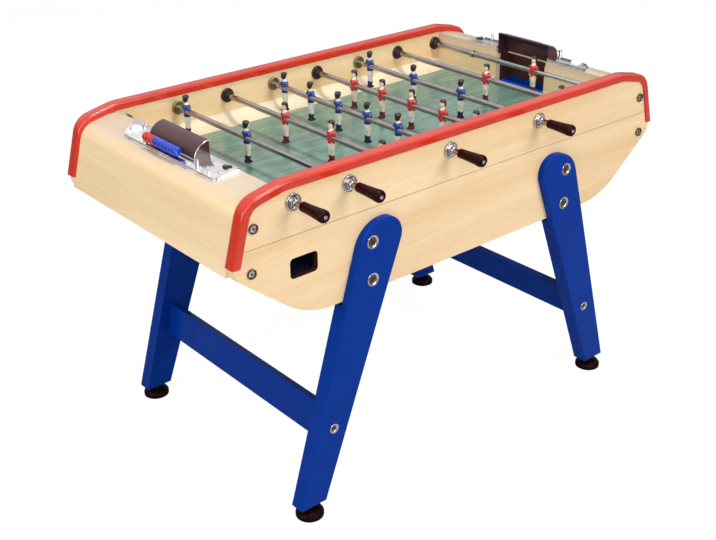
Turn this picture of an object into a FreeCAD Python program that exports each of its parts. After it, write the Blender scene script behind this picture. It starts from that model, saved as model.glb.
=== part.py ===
"""Foosball table, as a parametric FreeCAD document (millimetres, +Z up).

X runs along the table, -Y is the long side with the handles of the blue team, and the origin is
on the floor under the middle of the table.  Every driving size is a cell of the Sizes sheet.
"""
import FreeCAD, Part
import math
import os

import Sketcher
from FreeCAD import Placement, Rotation, Vector

doc = FreeCAD.newDocument("FoosballTable")

# ---------------------------------------------------------------- driving sizes

SIZES = {
    # cabinet outline, seen from the side
    "half_length": (740, "middle to the rail's outside, at the rail's lower end"),
    "half_width": (380, "middle to the outside of a side panel"),
    "panel_wall": (26, "thickness of a side panel"),
    "belly_run": (205, "length of the rising part of the lower edge, up to the rail's end"),
    "belly_half": ("=half_length - belly_run", "middle to where the lowest edge starts to rise"),
    "belly_slope": (38.7, "slope of the rising lower edges, degrees"),
    "belly_round": (220, "corner radius where the lower edge starts to rise"),
    "toe_round": (34, "corner radius at the panel's lower ends"),
    "seam_width": (1.6, "width of that groove"),
    "seam_depth": (1.0, "depth of that groove"),
    # rails that cap the side panels
    "rail_top": (932, "top of the rails"),
    "rail_slant": (15.6, "lean of the ends, degrees from upright"),
    "rail_corner": (60, "outer corner radius of a rail"),
    "rail_bend": (110, "radius where a rail's top starts to fall"),
    "rail_fall": (12.2, "fall of the rails and end pieces toward their corners, degrees"),
    "rail_fall_run": (148, "rail's lower end back to where its top starts to fall"),
    "rail_fall_from": ("=half_length - rail_fall_run", "middle to where a rail's top starts to fall"),
    "rail_cap": (9, "thickness of a rail over the panel's edge"),
    "rail_band": (20, "height of a rail, seen from the side"),
    "rail_lip_out": (6, "how far a rail stands out from the panel, outside"),
    "rail_lip_in": (4, "how far a rail stands out from the panel, inside"),
    "rail_round": (7, "rounding of a rail's outer edges"),
    # end pieces
    "end_drop": (24, "top of the end pieces below the top of the rails"),
    "end_inset": (8, "slanted face of the end pieces in from the rail's outside"),
    "end_round": (50, "radius of the end pieces' corner"),
    "end_bend": (110, "radius where an end piece starts to fall"),
    "end_fall_run": (122, "rail's lower end back to where an end piece starts to fall"),
    "end_fall_from": ("=half_length - end_fall_run", "middle to where an end piece starts to fall"),
    "end_wall": (18, "thickness of the bent end piece and of the inner end wall"),
    "end_depth": (152, "from the rail's outside, at its lower end, to an end wall's inner face"),
    "pitch_half": ("=half_length - end_depth", "middle to the inner face of an end wall"),
    "cleat_gap": (5, "space between a cleat and the end piece"),
    "cleat_width": (50, "width of a cleat"),
    "cleat_wall": (30, "thickness of a cleat"),
    "bottom_inset": (12, "bottom boards above the side panels' lower edges"),
    "bottom_wall": (12, "thickness of the bottom boards"),
    # playing field
    "field_wall": (10, "thickness of the playing field"),
    "bank_rise": (26, "height of the side banks at the wall"),
    "bank_width": (53, "width of the side banks"),
    "end_bank_rise": (40, "height of the end banks at the wall"),
    "end_bank_width": (24, "width of the end banks"),
    "goal_half": (98, "half the width of the goal mouth"),
    "goal_depth": (82, "depth of the goal box behind the end wall's inner face"),
    "goal_skin": (4, "thickness of the goal box"),
    "goal_drop": (44, "gap at the back of the goal floor, where the ball falls"),
    "goal_sill": (52, "depth of the goal box below the playing surface"),
    # hood over each goal
    "hood_radius": (46, "outer radius of the hood"),
    "hood_wall": (3, "thickness of the hood"),
    "hood_setback": (9, "hood's front edge behind the end wall's inner face"),
    # scoring plate on each end
    "plate_wall": (8, "height of a scoring plate over the end piece"),
    "plate_lip": (2.5, "thickness of the thin lip round the plate"),
    "plate_lip_wide": (4, "width of that lip"),
    "plate_setin": (1, "plate's inner edge behind the end wall's inner face"),
    "plate_width": (76, "width of a scoring plate"),
    "plate_far": (249, "middle to the plate's pointed end"),
    "plate_near": (220, "middle to the plate's rounded end"),
    "plate_point_long": (50, "length of the plate's slanted far corner along the end"),
    "plate_point_wide": (42, "width of that corner"),
    "plate_point_drop": (18, "how far that corner falls back on the way"),
    "plate_nose": (21, "radius of the plate's near corner"),
    "ball_radius": (17, "radius of the ball"),
    "ball_sunk": (8, "ball's centre below the plate's top"),
    "ball_setin": (41, "ball's centre from the end wall's inner face"),
    "ball_along": (181, "ball's centre from the middle of the end"),
    "ball_gap": (0.3, "play between the ball and its bowl"),
    "bowl_radius": (24, "radius inside the bowl that the ball lies in"),
    "bowl_wall": (2, "wall of that bowl"),
    "peg_radius": (3.5, "radius of the small peg on the plate"),
    "peg_height": (2, "height of the small peg above the plate"),
    "peg_along": (180, "middle to the small peg"),
    # score wire and beads
    "wire_radius": (1.6, "radius of the score wire"),
    "wire_height": (9, "score wire above the plate"),
    "wire_setin": (67, "score wire from the end wall's inner face"),
    "wire_far": (99, "middle to the wire's far post"),
    "wire_near": (135, "middle to the wire's near post"),
    "post_radius": (4.5, "radius of the wire's posts"),
    "bead_radius": (12, "radius of a score bead"),
    "bead_length": (14.5, "length of a score bead"),
    "bead_pitch": (15.1, "distance from bead to bead"),
    "bead_bore": (0.35, "play between a bead and its wire"),
    # rods
    "keeper_room": (21, "from a keeper's rod to the inner face of its end wall"),
    "rod_pitch": ("=2*(pitch_half - keeper_room)/7", "distance from rod to rod, eight in a row"),
    "tube_radius": (8, "outer radius of a rod's tube"),
    "core_radius": (6, "radius of the core that the tube slides on"),
    "running_play": (0.08, "radial play of what turns or slides"),
    "core_inset": (12, "depth of a core in its socket's panel"),
    "core_end_play": (0.5, "space past the core's end in its socket"),
    "core_short": (380, "middle to the core's free end"),
    "tube_tail": (19, "tube past the middle of its last figure"),
    "grip_length": (81, "length of a grip"),
    "grip_small": (12, "radius of a grip at the table"),
    "grip_large": (15.5, "radius of a grip near its end"),
    "grip_socket": (50, "how far the tube reaches into the grip"),
    "collar_radius": (11.5, "radius of the stop collar on a keeper's rod"),
    "collar_length": (12, "length of that collar"),
    # bearings
    "flange_radius": (21, "radius of the flange outside"),
    "flange_wall": (7, "thickness of that flange"),
    "boss_radius": (12.5, "radius of the boss on that flange"),
    "boss_height": (17, "how far the boss stands out of the panel"),
    "bush_radius": (20.5, "radius of the bush inside"),
    "bush_wall": (7, "thickness of the bush's flange"),
    "sleeve_radius": (13, "radius of the bush's sleeve"),
    "sleeve_height": (18, "how far the sleeve stands out of the panel"),
    "barrel_radius": (15, "radius of the bush's barrel in the panel"),
    "socket_radius": (19, "radius of a core's socket"),
    "socket_wall": (8, "thickness of a core's socket"),
    "stub_radius": (11, "radius of the socket's stub in the panel"),
    # figures
    "foot_drop": (67, "sole of a figure below its rod"),
    "toe_reach": (12, "toes in front of the rod's axis"),
    "heel_reach": (9, "heels behind the rod's axis"),
    "boot_half": (8.5, "half the width of the boots"),
    "ankle_drop": (56, "ankles below the rod"),
    "shin_half": (5.5, "half the depth of the legs"),
    "hem_drop": (27, "hem of the shorts below the rod"),
    "hem_half": (11, "half the width of the shorts"),
    "waist_drop": (12, "waist below the rod"),
    "chest_half": (11, "half the depth of the chest"),
    "hand_drop": (14, "hands below the rod"),
    "figure_half": (17, "half the width of a figure across its arms"),
    "shoulder_rise": (19, "shoulders above the rod"),
    "neck_rise": (25, "top of the neck above the rod"),
    "neck_half": (4, "half the width of the neck"),
    "head_rise": (46, "top of the head above the rod"),
    "head_half": (8.5, "half the depth of the head"),
    # rows of figures: how far the middle of a row goes either way, and where it stands at rest
    "gap_pair": (282, "distance between two backs"),
    "gap_trio": (195, "distance between forwards"),
    "gap_five": (122, "distance between halves"),
    "inner_half": ("=half_width - panel_wall", "middle to the inside of a side panel"),
    "room_pair": (19, "space between the outer back and the panel at the end of the throw"),
    "room_trio": (22, "the same for the outer forward"),
    "room_five": (27, "the same for the outer half"),
    "throw_keeper": (79, "a keeper's throw either way from the middle"),
    "throw_collar": (78, "its throw toward its grip, where the collar meets the bush"),
    "collar_along": ("=inner_half - sleeve_height - collar_length/2 - throw_collar",
                     "collar from its keeper"),
    "throw_pair": ("=inner_half - gap_pair/2 - figure_half - room_pair", "throw of the backs"),
    "throw_trio": ("=inner_half - gap_trio - figure_half - room_trio", "throw of the forwards"),
    "throw_five": ("=inner_half - 2*gap_five - figure_half - room_five", "throw of the halves"),
    "rest_one": (0.937, "blue keeper at rest, as a share of the throw toward +Y"),
    "rest_two": (0.949, "blue backs at rest"),
    "rest_three": (-0.967, "red forwards at rest"),
    "rest_four": (0.833, "blue halves at rest"),
    "rest_five": (-0.985, "red halves at rest"),
    "rest_six": (0.858, "blue forwards at rest"),
    "rest_seven": (-0.994, "red backs at rest"),
    "rest_eight": (-0.937, "red keeper at rest"),
    "stop_keeper": (15, "space between a grip and its bearing at the end of the throw"),
    "stop_pair": (8, "the same for the backs"),
    "stop_trio": (3, "the same for the forwards"),
    "stop_five": (7, "the same for the halves"),
    # legs
    "leg_foot": (36, "lower end of the legs"),
    "leg_out_top": (374.6, "middle to the leg's outer edge, at its top"),
    "leg_out_foot": (592, "middle to the leg's outer edge, at its foot"),
    "leg_in_top": (232, "middle to the leg's inner edge, at its top"),
    "leg_in_foot": (513, "middle to the leg's inner edge, at its foot"),
    "leg_round_out": (84, "radius of the leg's outer top corner"),
    "leg_round_in": (51, "radius of the leg's inner top corner"),
    "leg_lap": (20, "thickness of the leg where it laps the panel"),
    "leg_wall": (44, "thickness of the leg below the panel"),
    "leg_bevel": (2.5, "bevel along the leg's outer edges"),
    "beam_wall": (22, "thickness of a stretcher"),
    "beam_height": (90, "height of a stretcher's board"),
    "beam_tilt": (12.5, "lean of a stretcher, degrees from upright"),
    "beam_level": (243, "height of a stretcher's middle and its bolt"),
    # bolts
    "bolt_along": (350, "middle to the leg bolts"),
    "bolt_radius": (5, "radius of a bolt's shank"),
    "bolt_cup": (18, "radius of the cup under a leg bolt"),
    "bolt_cup_depth": (5, "depth of that cup"),
    "bolt_grip": (18, "length of a leg bolt in the panel"),
    "end_bolt_grip": (24, "length of an end bolt in its cleat"),
    "washer_wall": (2, "thickness of the bolts' washers"),
    "bolt_head": (4, "height of a bolt's head on its washer"),
    "bolt_socket": (2.5, "depth of the socket in a bolt's head"),
    "beam_bolt_grip": (46, "length of the stretcher's bolt in the stretcher"),
    "beam_bolt_cup": (14, "radius of the cup under the stretcher's bolt"),
    "end_bolt_cup": (12, "radius of the cup of an end bolt"),
    "end_bolt_high_in": (63, "upper end bolt in from the rail's outside at its lower end"),
    "end_bolt_low_in": (52, "lower end bolt in from there"),
    # levelling feet
    "puck_radius": (37, "radius of a levelling foot"),
    "puck_height": (24, "height of its pad"),
    "puck_round": (5, "rounding of its pad"),
    "stem_radius": (8, "radius of its stem"),
    "stem_length": (62, "length of its stem"),
    "stem_play": (0.1, "radial play of the stem in the leg"),
    "stem_room": (14, "room above the stem in the leg"),
    # ball return
    "hole_setin": (158, "ball hole's outer edge in from the rail's outside"),
    "hole_width": (80, "width of the ball hole"),
    "hole_left": ("=half_length - hole_setin", "middle to the ball hole's outer edge"),
    "hole_right": ("=hole_left - hole_width", "middle to the ball hole's inner edge"),
    "hole_round": (11, "corner radius of the ball hole"),
    "chute_wall": (6, "thickness of the ball chute's boards"),
    "chute_rise": (26, "fall of the chute from the right goal to the tray"),
    "chute_side": (28, "height of the chute's sides"),
}

# Heights that go up and down with the top of the rails: depth below it.
DROPS = {
    "belly": (354, "lowest edge of a side panel"),
    "seam_height": (136, "height of the groove across each side panel"),
    "rail_end": (170, "lower ends of the rails"),
    "end_foot": (197, "lowest edge of the end piece"),
    "cleat_top": (74, "top of the cleats behind the end pieces"),
    "field_top": (129, "surface the ball runs on"),
    "rod_height": (54, "height of the rods"),
    "leg_top": (163, "top of the legs"),
    "leg_shoulder": (366, "height of the leg's shoulder"),
    "bolt_high": (215, "height of the upper leg bolt"),
    "bolt_low": (315, "height of the lower leg bolt"),
    "end_bolt_high": (87, "height of the upper end bolt"),
    "end_bolt_low": (193, "height of the lower end bolt"),
    "hole_low": (245, "lower edge of the ball hole"),
    "hole_high": (193, "upper edge of the ball hole"),
}

sheet = doc.addObject("Spreadsheet::Sheet", "Sizes")
for name, (drop, note) in DROPS.items():
    SIZES[f"{name}_drop"] = (drop, f"{note}, below the top of the rails")
    SIZES[name] = (f"=rail_top - {name}_drop", note)
for row, (alias, (value, note)) in enumerate(SIZES.items(), start=1):
    sheet.set(f"A{row}", alias)
    sheet.set(f"B{row}", str(value))
    sheet.set(f"C{row}", note)
    sheet.setAlias(f"B{row}", alias)
doc.recompute()


def size(expression):
    """The number that an expression over the sheet gives."""
    return float(sheet.evalExpression(str(expression)))


# ---------------------------------------------------------------- outline of the cabinet

END_TOP = "(Sizes.rail_top - Sizes.end_drop)"


def edge_x(inset, height):
    """Expression for the slanted end's X at a height, inset from the rail's surface."""
    return (f"(Sizes.half_length - ({inset})/cos(Sizes.rail_slant)"
            f" - (({height}) - Sizes.rail_end)*tan(Sizes.rail_slant))")


def crest(inset, top, start):
    """Where a level top starts to fall, and the corner where it meets the slanted end."""
    reach = f"(Sizes.half_length - ({inset})/cos(Sizes.rail_slant)"
    rise = f"({top} + {start}*tan(Sizes.rail_fall) - Sizes.rail_end)"
    corner = (f"({reach} - {rise}*tan(Sizes.rail_slant))"
              f"/(1 - tan(Sizes.rail_fall)*tan(Sizes.rail_slant)))")
    return (start, top), (corner, f"({top} - ({corner} - {start})*tan(Sizes.rail_fall))")


def rail_crest(inset):
    """Those two points of the rail's outline at an inset."""
    start = f"(Sizes.rail_fall_from - ({inset})*tan(Sizes.rail_fall/2))"
    return crest(inset, f"(Sizes.rail_top - ({inset}))", start)


def end_crest(lift):
    """Those two points of the end piece's outer face, lifted by a distance."""
    start = f"(Sizes.end_fall_from + ({lift})*tan(Sizes.rail_fall/2))"
    return crest(f"(Sizes.end_inset - ({lift}))", f"({END_TOP} + ({lift}))", start)


def slope_z(inset, along):
    """Expression for the rising lower edge's Z at an X, inset above it."""
    return (f"(Sizes.belly + ({inset})/cos(Sizes.belly_slope)"
            f" + (({along}) - Sizes.belly_half)*tan(Sizes.belly_slope))")


def toe_x(inset, lift):
    """Expression for the X where the slanted end meets the rising lower edge."""
    return (f"((Sizes.half_length - ({inset})/cos(Sizes.rail_slant)"
            f" - (Sizes.belly + ({lift})/cos(Sizes.belly_slope) - Sizes.rail_end)*tan(Sizes.rail_slant)"
            f" + Sizes.belly_half*tan(Sizes.belly_slope)*tan(Sizes.rail_slant))"
            f"/(1 + tan(Sizes.belly_slope)*tan(Sizes.rail_slant)))")


INNER_Y = "Sizes.inner_half"


# ---------------------------------------------------------------- makers

def find_plane(body, role):
    return next(item for item in body.Origin.OriginFeatures if item.Role == role)


def new_body(label):
    body = doc.addObject("PartDesign::Body", label)
    body.Label = label
    return body


def attach(sketch, body, role, offset=None):
    sketch.AttachmentSupport = [(find_plane(body, role), "")]
    sketch.MapMode = "FlatFace"
    if offset is not None:
        sketch.setExpression("AttachmentOffset.Base.z", offset)


def sketch_polygon(body, name, role, corners, offset=None):
    """A closed outline of straight lines whose corners are bound to expressions."""
    sketch = body.newObject("Sketcher::SketchObject", name)
    attach(sketch, body, role, offset)
    points = [Vector(size(x), size(y), 0) for x, y in corners]
    count = len(points)
    for index, point in enumerate(points):
        sketch.addGeometry(Part.LineSegment(point, points[(index + 1) % count]), False)
    for index in range(count):
        sketch.addConstraint(Sketcher.Constraint("Coincident", index, 2, (index + 1) % count, 1))
    for index, (x, y) in enumerate(corners):
        for kind, expression, number in (("DistanceX", x, points[index].x),
                                         ("DistanceY", y, points[index].y)):
            which = sketch.addConstraint(Sketcher.Constraint(kind, -1, 1, index, 1, number))
            sketch.setExpression(f"Constraints[{which}]", str(expression))
    return sketch


def sketch_circles(body, name, role, circles, offset=None):
    """Circles whose centres and radii are bound to expressions."""
    sketch = body.newObject("Sketcher::SketchObject", name)
    attach(sketch, body, role, offset)
    for index, (x, y, radius) in enumerate(circles):
        centre = Vector(size(x), size(y), 0)
        sketch.addGeometry(Part.Circle(centre, Vector(0, 0, 1), size(radius)), False)
        which = sketch.addConstraint(Sketcher.Constraint("Radius", index, size(radius)))
        sketch.setExpression(f"Constraints[{which}]", str(radius))
        for kind, expression, number in (("DistanceX", x, centre.x), ("DistanceY", y, centre.y)):
            which = sketch.addConstraint(Sketcher.Constraint(kind, -1, 1, index, 3, number))
            sketch.setExpression(f"Constraints[{which}]", str(expression))
    return sketch


def pad(body, sketch, length, toward_back=False):
    feature = body.newObject("PartDesign::Pad", sketch.Name + "Pad")
    feature.Profile = sketch
    feature.setExpression("Length", str(length))
    feature.Reversed = toward_back
    sketch.Visibility = False
    doc.recompute()
    return feature


def pocket(body, sketch, depth=None, toward_back=False):
    """A pocket of a depth, or through everything, that has to remove material."""
    before = body.Shape.Volume
    feature = body.newObject("PartDesign::Pocket", sketch.Name + "Pocket")
    feature.Profile = sketch
    feature.Reversed = toward_back
    if depth is None:
        feature.Type = 1
        feature.Midplane = True
    else:
        feature.setExpression("Length", str(depth))
    doc.recompute()
    if not body.Shape.Volume < before - 1e-3:
        raise RuntimeError(f"{sketch.Name} cuts nothing")
    return feature


def edges_at(shape, corners, axis):
    """Names of the straight edges along an axis that pass through the given corners."""
    names = []
    others = [item for item in "xyz" if item != axis]
    for index, edge in enumerate(shape.Edges, start=1):
        if len(edge.Vertexes) != 2:
            continue
        start, end = (vertex.Point for vertex in edge.Vertexes)
        if any(abs(getattr(start, item) - getattr(end, item)) > 1e-6 for item in others):
            continue
        here = tuple(getattr(start, item) for item in others)
        if any(abs(here[0] - u) < 1e-4 and abs(here[1] - v) < 1e-4 for u, v in corners):
            names.append(f"Edge{index}")
    return names


def round_corners(body, corners, radius, axis="y"):
    """Rounds the edges that run along an axis through corners given as expressions."""
    tip = body.Tip
    spots = [(size(u), size(v)) for u, v in corners]
    names = edges_at(tip.Shape, spots, axis)
    feature = body.newObject("PartDesign::Fillet", f"{body.Name}Round")
    feature.Base = (tip, names)
    feature.setExpression("Radius", str(radius))
    doc.recompute()
    return feature


def place(item, x=None, y=None, z=None, rotation=None):
    """Binds an object's place to expressions; the rotation is set as it is."""
    if rotation is not None:
        item.Placement = Placement(Vector(), rotation)
    for axis, expression in (("x", x), ("y", y), ("z", z)):
        if expression is not None:
            item.setExpression(f"Placement.Base.{axis}", str(expression))
    return item


TURNS = {"+Z": Rotation(), "+Y": Rotation(Vector(1, 0, 0), -90), "-Y": Rotation(Vector(1, 0, 0), 90)}


def turned(label, profile, x=None, y=None, z=None, toward="+Z"):
    """A turned piece: a closed profile of (radius, height) corners spun about its own axis.

    toward is the world direction of the profile's height: +Z, +Y or -Y.
    """
    body = new_body(label)
    sketch = sketch_polygon(body, label + "Profile", "XZ_Plane", profile)
    spin = body.newObject("PartDesign::Revolution", label + "Spin")
    spin.Profile = sketch
    spin.ReferenceAxis = (sketch, ["V_Axis"])
    spin.Angle = 360
    return place(body, x, y, z, TURNS[toward])


def linked(name, source, x, y, z, toward="+Z"):
    """The same piece again in another place."""
    link = doc.addObject("App::Link", name)
    link.LinkedObject = source
    return place(link, x, y, z, TURNS[toward] if isinstance(toward, str) else toward)


def cylinder(name, radius, height, x, y, z, toward="+Z"):
    item = doc.addObject("Part::Cylinder", name)
    item.setExpression("Radius", str(radius))
    item.setExpression("Height", str(height))
    return place(item, x, y, z, TURNS[toward])


def box(name, low, high):
    """A block between two corners given as expressions."""
    item = doc.addObject("Part::Box", name)
    for prop, start, end in zip(("Length", "Width", "Height"), low, high):
        item.setExpression(prop, f"({end}) - ({start})")
    return place(item, *low)


def fused(name, items):
    item = doc.addObject("Part::MultiFuse", name)
    item.Shapes = items
    return item


def cut(name, base, tools):
    """The base less its tools, which have to remove material."""
    item = doc.addObject("Part::Cut", name)
    item.Base = base
    item.Tool = tools[0] if len(tools) == 1 else fused(name + "Tools", tools)
    doc.recompute()
    if not item.Shape.Volume < base.Shape.Volume - 1e-3:
        raise RuntimeError(f"{name} cuts nothing")
    return item


def group(label, items):
    """Several solids of one kind that share a node."""
    item = doc.addObject("Part::Compound", label)
    item.Links = items
    item.Label = label
    return item


nodes = []


def keep(item):
    """Marks an object as a sub-part that is written out under its label."""
    nodes.append(item)
    return item


# ---------------------------------------------------------------- rods: who plays where

# Where the figures of a row stand, in gaps from its middle.
ROWS = {"keeper": "0", "pair": "-0.5 0.5", "trio": "-1 0 1", "five": "-2 -1 0 1 2"}

# team, kind of row, name of its rest place and side of its grip: near is the -Y side
RODS = {
    1: ("blue", "keeper", "one", "near"),
    2: ("blue", "pair", "two", "near"),
    3: ("red", "trio", "three", "far"),
    4: ("blue", "five", "four", "near"),
    5: ("red", "five", "five", "far"),
    6: ("blue", "trio", "six", "near"),
    7: ("red", "pair", "seven", "far"),
    8: ("red", "keeper", "eight", "far"),
}


def rod_x(number):
    return f"(Sizes.rod_pitch*{number - 4.5})"


def grip_side(number):
    """-1 for a rod with its grip on the near side, 1 for one on the far side."""
    return -1 if RODS[number][3] == "near" else 1


def rod_numbers(side):
    """Rods whose grips are on a side."""
    return [number for number in RODS if grip_side(number) == side]


# ---------------------------------------------------------------- side panels

def panel_corners():
    toe = toe_x("Sizes.rail_cap", "0")
    start, corner = rail_crest("Sizes.rail_cap")
    right = [("Sizes.belly_half", "Sizes.belly"), (toe, slope_z("0", toe)), corner, start]
    left = [(f"-{x}", z) for x, z in reversed(right)]
    return right + left


def side_panel(label, side):
    """A boat-shaped panel; in its own frame Y goes from 0 down to minus the wall."""
    body = new_body(label)
    corners = panel_corners()
    pad(body, sketch_polygon(body, label + "Outline", "XZ_Plane", corners), "Sizes.panel_wall")
    for index, radius in enumerate(("Sizes.belly_round", "Sizes.toe_round",
                                    "Sizes.rail_corner - Sizes.rail_cap",
                                    "Sizes.rail_bend - Sizes.rail_cap")):
        round_corners(body, [corners[index], corners[-1 - index]], radius, "y")
    barrels = [(rod_x(n), "Sizes.rod_height", "Sizes.barrel_radius") for n in rod_numbers(side)]
    pocket(body, sketch_circles(body, label + "Barrels", "XZ_Plane", barrels))
    stubs = [(rod_x(n), "Sizes.rod_height", "Sizes.stub_radius") for n in rod_numbers(-side)]
    inner = "0" if side < 0 else "Sizes.panel_wall"
    outer = "Sizes.panel_wall" if side < 0 else "0"
    stub_depth = "Sizes.core_inset + 4"
    pocket(body, sketch_circles(body, label + "Stubs", "XZ_Plane", stubs, inner), stub_depth,
           toward_back=side < 0)
    bolts = [(f"{sign}*Sizes.bolt_along", height, "Sizes.bolt_radius")
             for sign in (-1, 1) for height in ("Sizes.bolt_high", "Sizes.bolt_low")]
    pocket(body, sketch_circles(body, label + "Bolts", "XZ_Plane", bolts, outer),
           "Sizes.bolt_grip", toward_back=side > 0)
    ends = [(x, z, "Sizes.bolt_radius") for x, z in end_bolt_spots()]
    pocket(body, sketch_circles(body, label + "EndBolts", "XZ_Plane", ends))
    half_seam = "Sizes.seam_width/2"
    reach = edge_x("Sizes.rail_cap", "Sizes.seam_height")
    seam = [(f"-{reach} - 1", f"Sizes.seam_height - {half_seam}"),
            (f"{reach} + 1", f"Sizes.seam_height - {half_seam}"),
            (f"{reach} + 1", f"Sizes.seam_height + {half_seam}"),
            (f"-{reach} - 1", f"Sizes.seam_height + {half_seam}")]
    pocket(body, sketch_polygon(body, label + "Seam", "XZ_Plane", seam, outer),
           "Sizes.seam_depth", toward_back=side > 0)
    if side < 0:
        hole = [("-Sizes.hole_left", "Sizes.hole_low"), ("-Sizes.hole_right", "Sizes.hole_low"),
                ("-Sizes.hole_right", "Sizes.hole_high"), ("-Sizes.hole_left", "Sizes.hole_high")]
        pocket(body, sketch_polygon(body, label + "BallHole", "XZ_Plane", hole))
        round_corners(body, hole, "Sizes.hole_round", "y")
    place(body, y="Sizes.half_width" if side > 0 else "-Sizes.half_width + Sizes.panel_wall")
    return keep(body)


END_BOLTS = {item: f"(Sizes.half_length - Sizes.end_bolt_{item}_in)" for item in ("high", "low")}


def end_bolt_spots():
    """Places of the bolts that hold the end pieces, four on each side panel."""
    return [(f"{sign}{END_BOLTS[name]}", f"Sizes.end_bolt_{name}")
            for name in ("high", "low") for sign in ("", "-")]


# ---------------------------------------------------------------- rails

def hoop(inset, low, spread="0"):
    """Corners of the rail's outline at an inset, closed along a low line."""
    low_x = edge_x(inset, low)
    start, corner = rail_crest(inset)
    return [(f"-{low_x} - ({spread})", low), (f"{low_x} + ({spread})", low), corner, start,
            (f"-{start[0]}", start[1]), (f"-{corner[0]}", corner[1])]


def end_outline():
    """The end pieces' outer outline, closed across the table below the rails' ends."""
    low = "Sizes.rail_end - 10"
    low_x = edge_x("Sizes.end_inset", low)
    start, corner = end_crest("0")
    return [(f"-{low_x}", low), (low_x, low), corner, start,
            (f"-{start[0]}", start[1]), (f"-{corner[0]}", corner[1])]


def prism(name, corners, low, high, rounds=()):
    """A piece of one side view between two Y places, with some corners rounded."""
    body = new_body(name)
    pad(body, sketch_polygon(body, name + "Outline", "XZ_Plane", corners, f"-({high})"),
        f"({high}) - ({low})")
    for indices, radius in rounds:
        round_corners(body, [corners[index] for index in indices], radius, "y")
    return body


def rail():
    """The far capping rail: a bent channel on the panel's top edge and its two ends."""
    inner, outer = f"({INNER_Y} - Sizes.rail_lip_in)", "(Sizes.half_width + Sizes.rail_lip_out)"
    low = "Sizes.rail_end - 10"
    bar = prism("RailBar", hoop("0", "Sizes.rail_end"), inner, outer,
                [((2, 5), "Sizes.rail_corner"), ((3, 4), "Sizes.rail_bend")])
    tip = bar.Tip
    names = [f"Edge{i}" for i, edge in enumerate(tip.Shape.Edges, start=1) if on_rail_crown(edge)]
    crown = bar.newObject("PartDesign::Fillet", "RailCrown")
    crown.Base = (tip, names)
    crown.setExpression("Radius", "Sizes.rail_round")
    inside = prism("RailInside", hoop("Sizes.rail_band", low), f"{inner} - 1", f"{outer} + 1",
                   [((2, 5), "Sizes.rail_corner - Sizes.rail_band"),
                    ((3, 4), "Sizes.rail_bend - Sizes.rail_band")])
    groove = prism("RailGroove", hoop("Sizes.rail_cap", low), INNER_Y, "Sizes.half_width",
                   [((2, 5), "Sizes.rail_corner - Sizes.rail_cap"),
                    ((3, 4), "Sizes.rail_bend - Sizes.rail_cap")])
    notch = prism("RailNotch", end_outline(), f"{inner} - 1", INNER_Y,
                  [((2, 5), "Sizes.end_round"), ((3, 4), "Sizes.end_bend")])
    return cut("RailFar", bar, [inside, groove, notch])


def on_rail_crown(edge):
    """True for an edge along the rail's outermost outline, leaving out the one across the table."""
    ends = [vertex.Point for vertex in edge.Vertexes]
    level = abs(ends[0].y - ends[-1].y) < 1e-6
    return level and max(point.z for point in ends) > size("Sizes.rail_end") + 1e-3


# ---------------------------------------------------------------- end pieces

TOP_IN = f"({END_TOP} - Sizes.end_wall)"
FACE_IN = "(Sizes.end_inset + Sizes.end_wall)"
FLOOR_IN = "(Sizes.bottom_inset + Sizes.bottom_wall)"
HOOD_X = "(Sizes.pitch_half + Sizes.hood_setback)"
HOOD_BACK = f"({HOOD_X} + Sizes.hood_radius)"
HOOD_HALF = "(Sizes.goal_half + Sizes.hood_wall)"
BOWL_OUT = "(Sizes.bowl_radius + Sizes.bowl_wall)"
BOWL_X = "(Sizes.pitch_half + Sizes.ball_setin)"


def end_skin():
    """The bent outer board of the right end."""
    body = new_body("EndSkin")
    start_in, corner_in = end_crest("-Sizes.end_wall")
    start_out, corner_out = end_crest("0")
    corners = [("Sizes.pitch_half", TOP_IN), start_in, corner_in,
               (edge_x(FACE_IN, "Sizes.end_foot"), "Sizes.end_foot"),
               (edge_x("Sizes.end_inset", "Sizes.end_foot"), "Sizes.end_foot"),
               corner_out, start_out, ("Sizes.pitch_half", END_TOP)]
    pad(body, sketch_polygon(body, "EndSkinOutline", "XZ_Plane", corners, f"-{INNER_Y}"),
        f"2*{INNER_Y}")
    for index, radius in ((1, "Sizes.end_bend - Sizes.end_wall"),
                          (2, "Sizes.end_round - Sizes.end_wall"),
                          (5, "Sizes.end_round"), (6, "Sizes.end_bend")):
        round_corners(body, [corners[index]], radius, "y")
    slot = [("Sizes.pitch_half - 5", f"-{HOOD_HALF}"), (HOOD_BACK, f"-{HOOD_HALF}"),
            (HOOD_BACK, HOOD_HALF), ("Sizes.pitch_half - 5", HOOD_HALF)]
    pocket(body, sketch_polygon(body, "EndSkinSlot", "XY_Plane", slot, f"{TOP_IN} - 10"),
           "Sizes.end_wall + 20", toward_back=True)
    bowl = [(BOWL_X, "Sizes.ball_along", BOWL_OUT)]
    pocket(body, sketch_circles(body, "EndSkinBowl", "XY_Plane", bowl, f"{TOP_IN} - 10"),
           "Sizes.end_wall + 20", toward_back=True)
    return body


def end_wall():
    """The upright board behind the goal line, with the goal mouth."""
    body = new_body("EndWall")
    foot = slope_z(FLOOR_IN, "(Sizes.pitch_half + Sizes.end_wall)")
    board = [(f"-{INNER_Y}", foot), (INNER_Y, foot), (INNER_Y, TOP_IN), (f"-{INNER_Y}", TOP_IN)]
    pad(body, sketch_polygon(body, "EndWallOutline", "YZ_Plane", board), "Sizes.end_wall")
    low = "Sizes.field_top - Sizes.goal_sill"
    mouth = [("-Sizes.goal_half", low), ("Sizes.goal_half", low),
             ("Sizes.goal_half", f"{TOP_IN} + 5"), ("-Sizes.goal_half", f"{TOP_IN} + 5")]
    pocket(body, sketch_polygon(body, "EndWallMouth", "YZ_Plane", mouth))
    return place(body, x="Sizes.pitch_half")


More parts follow.
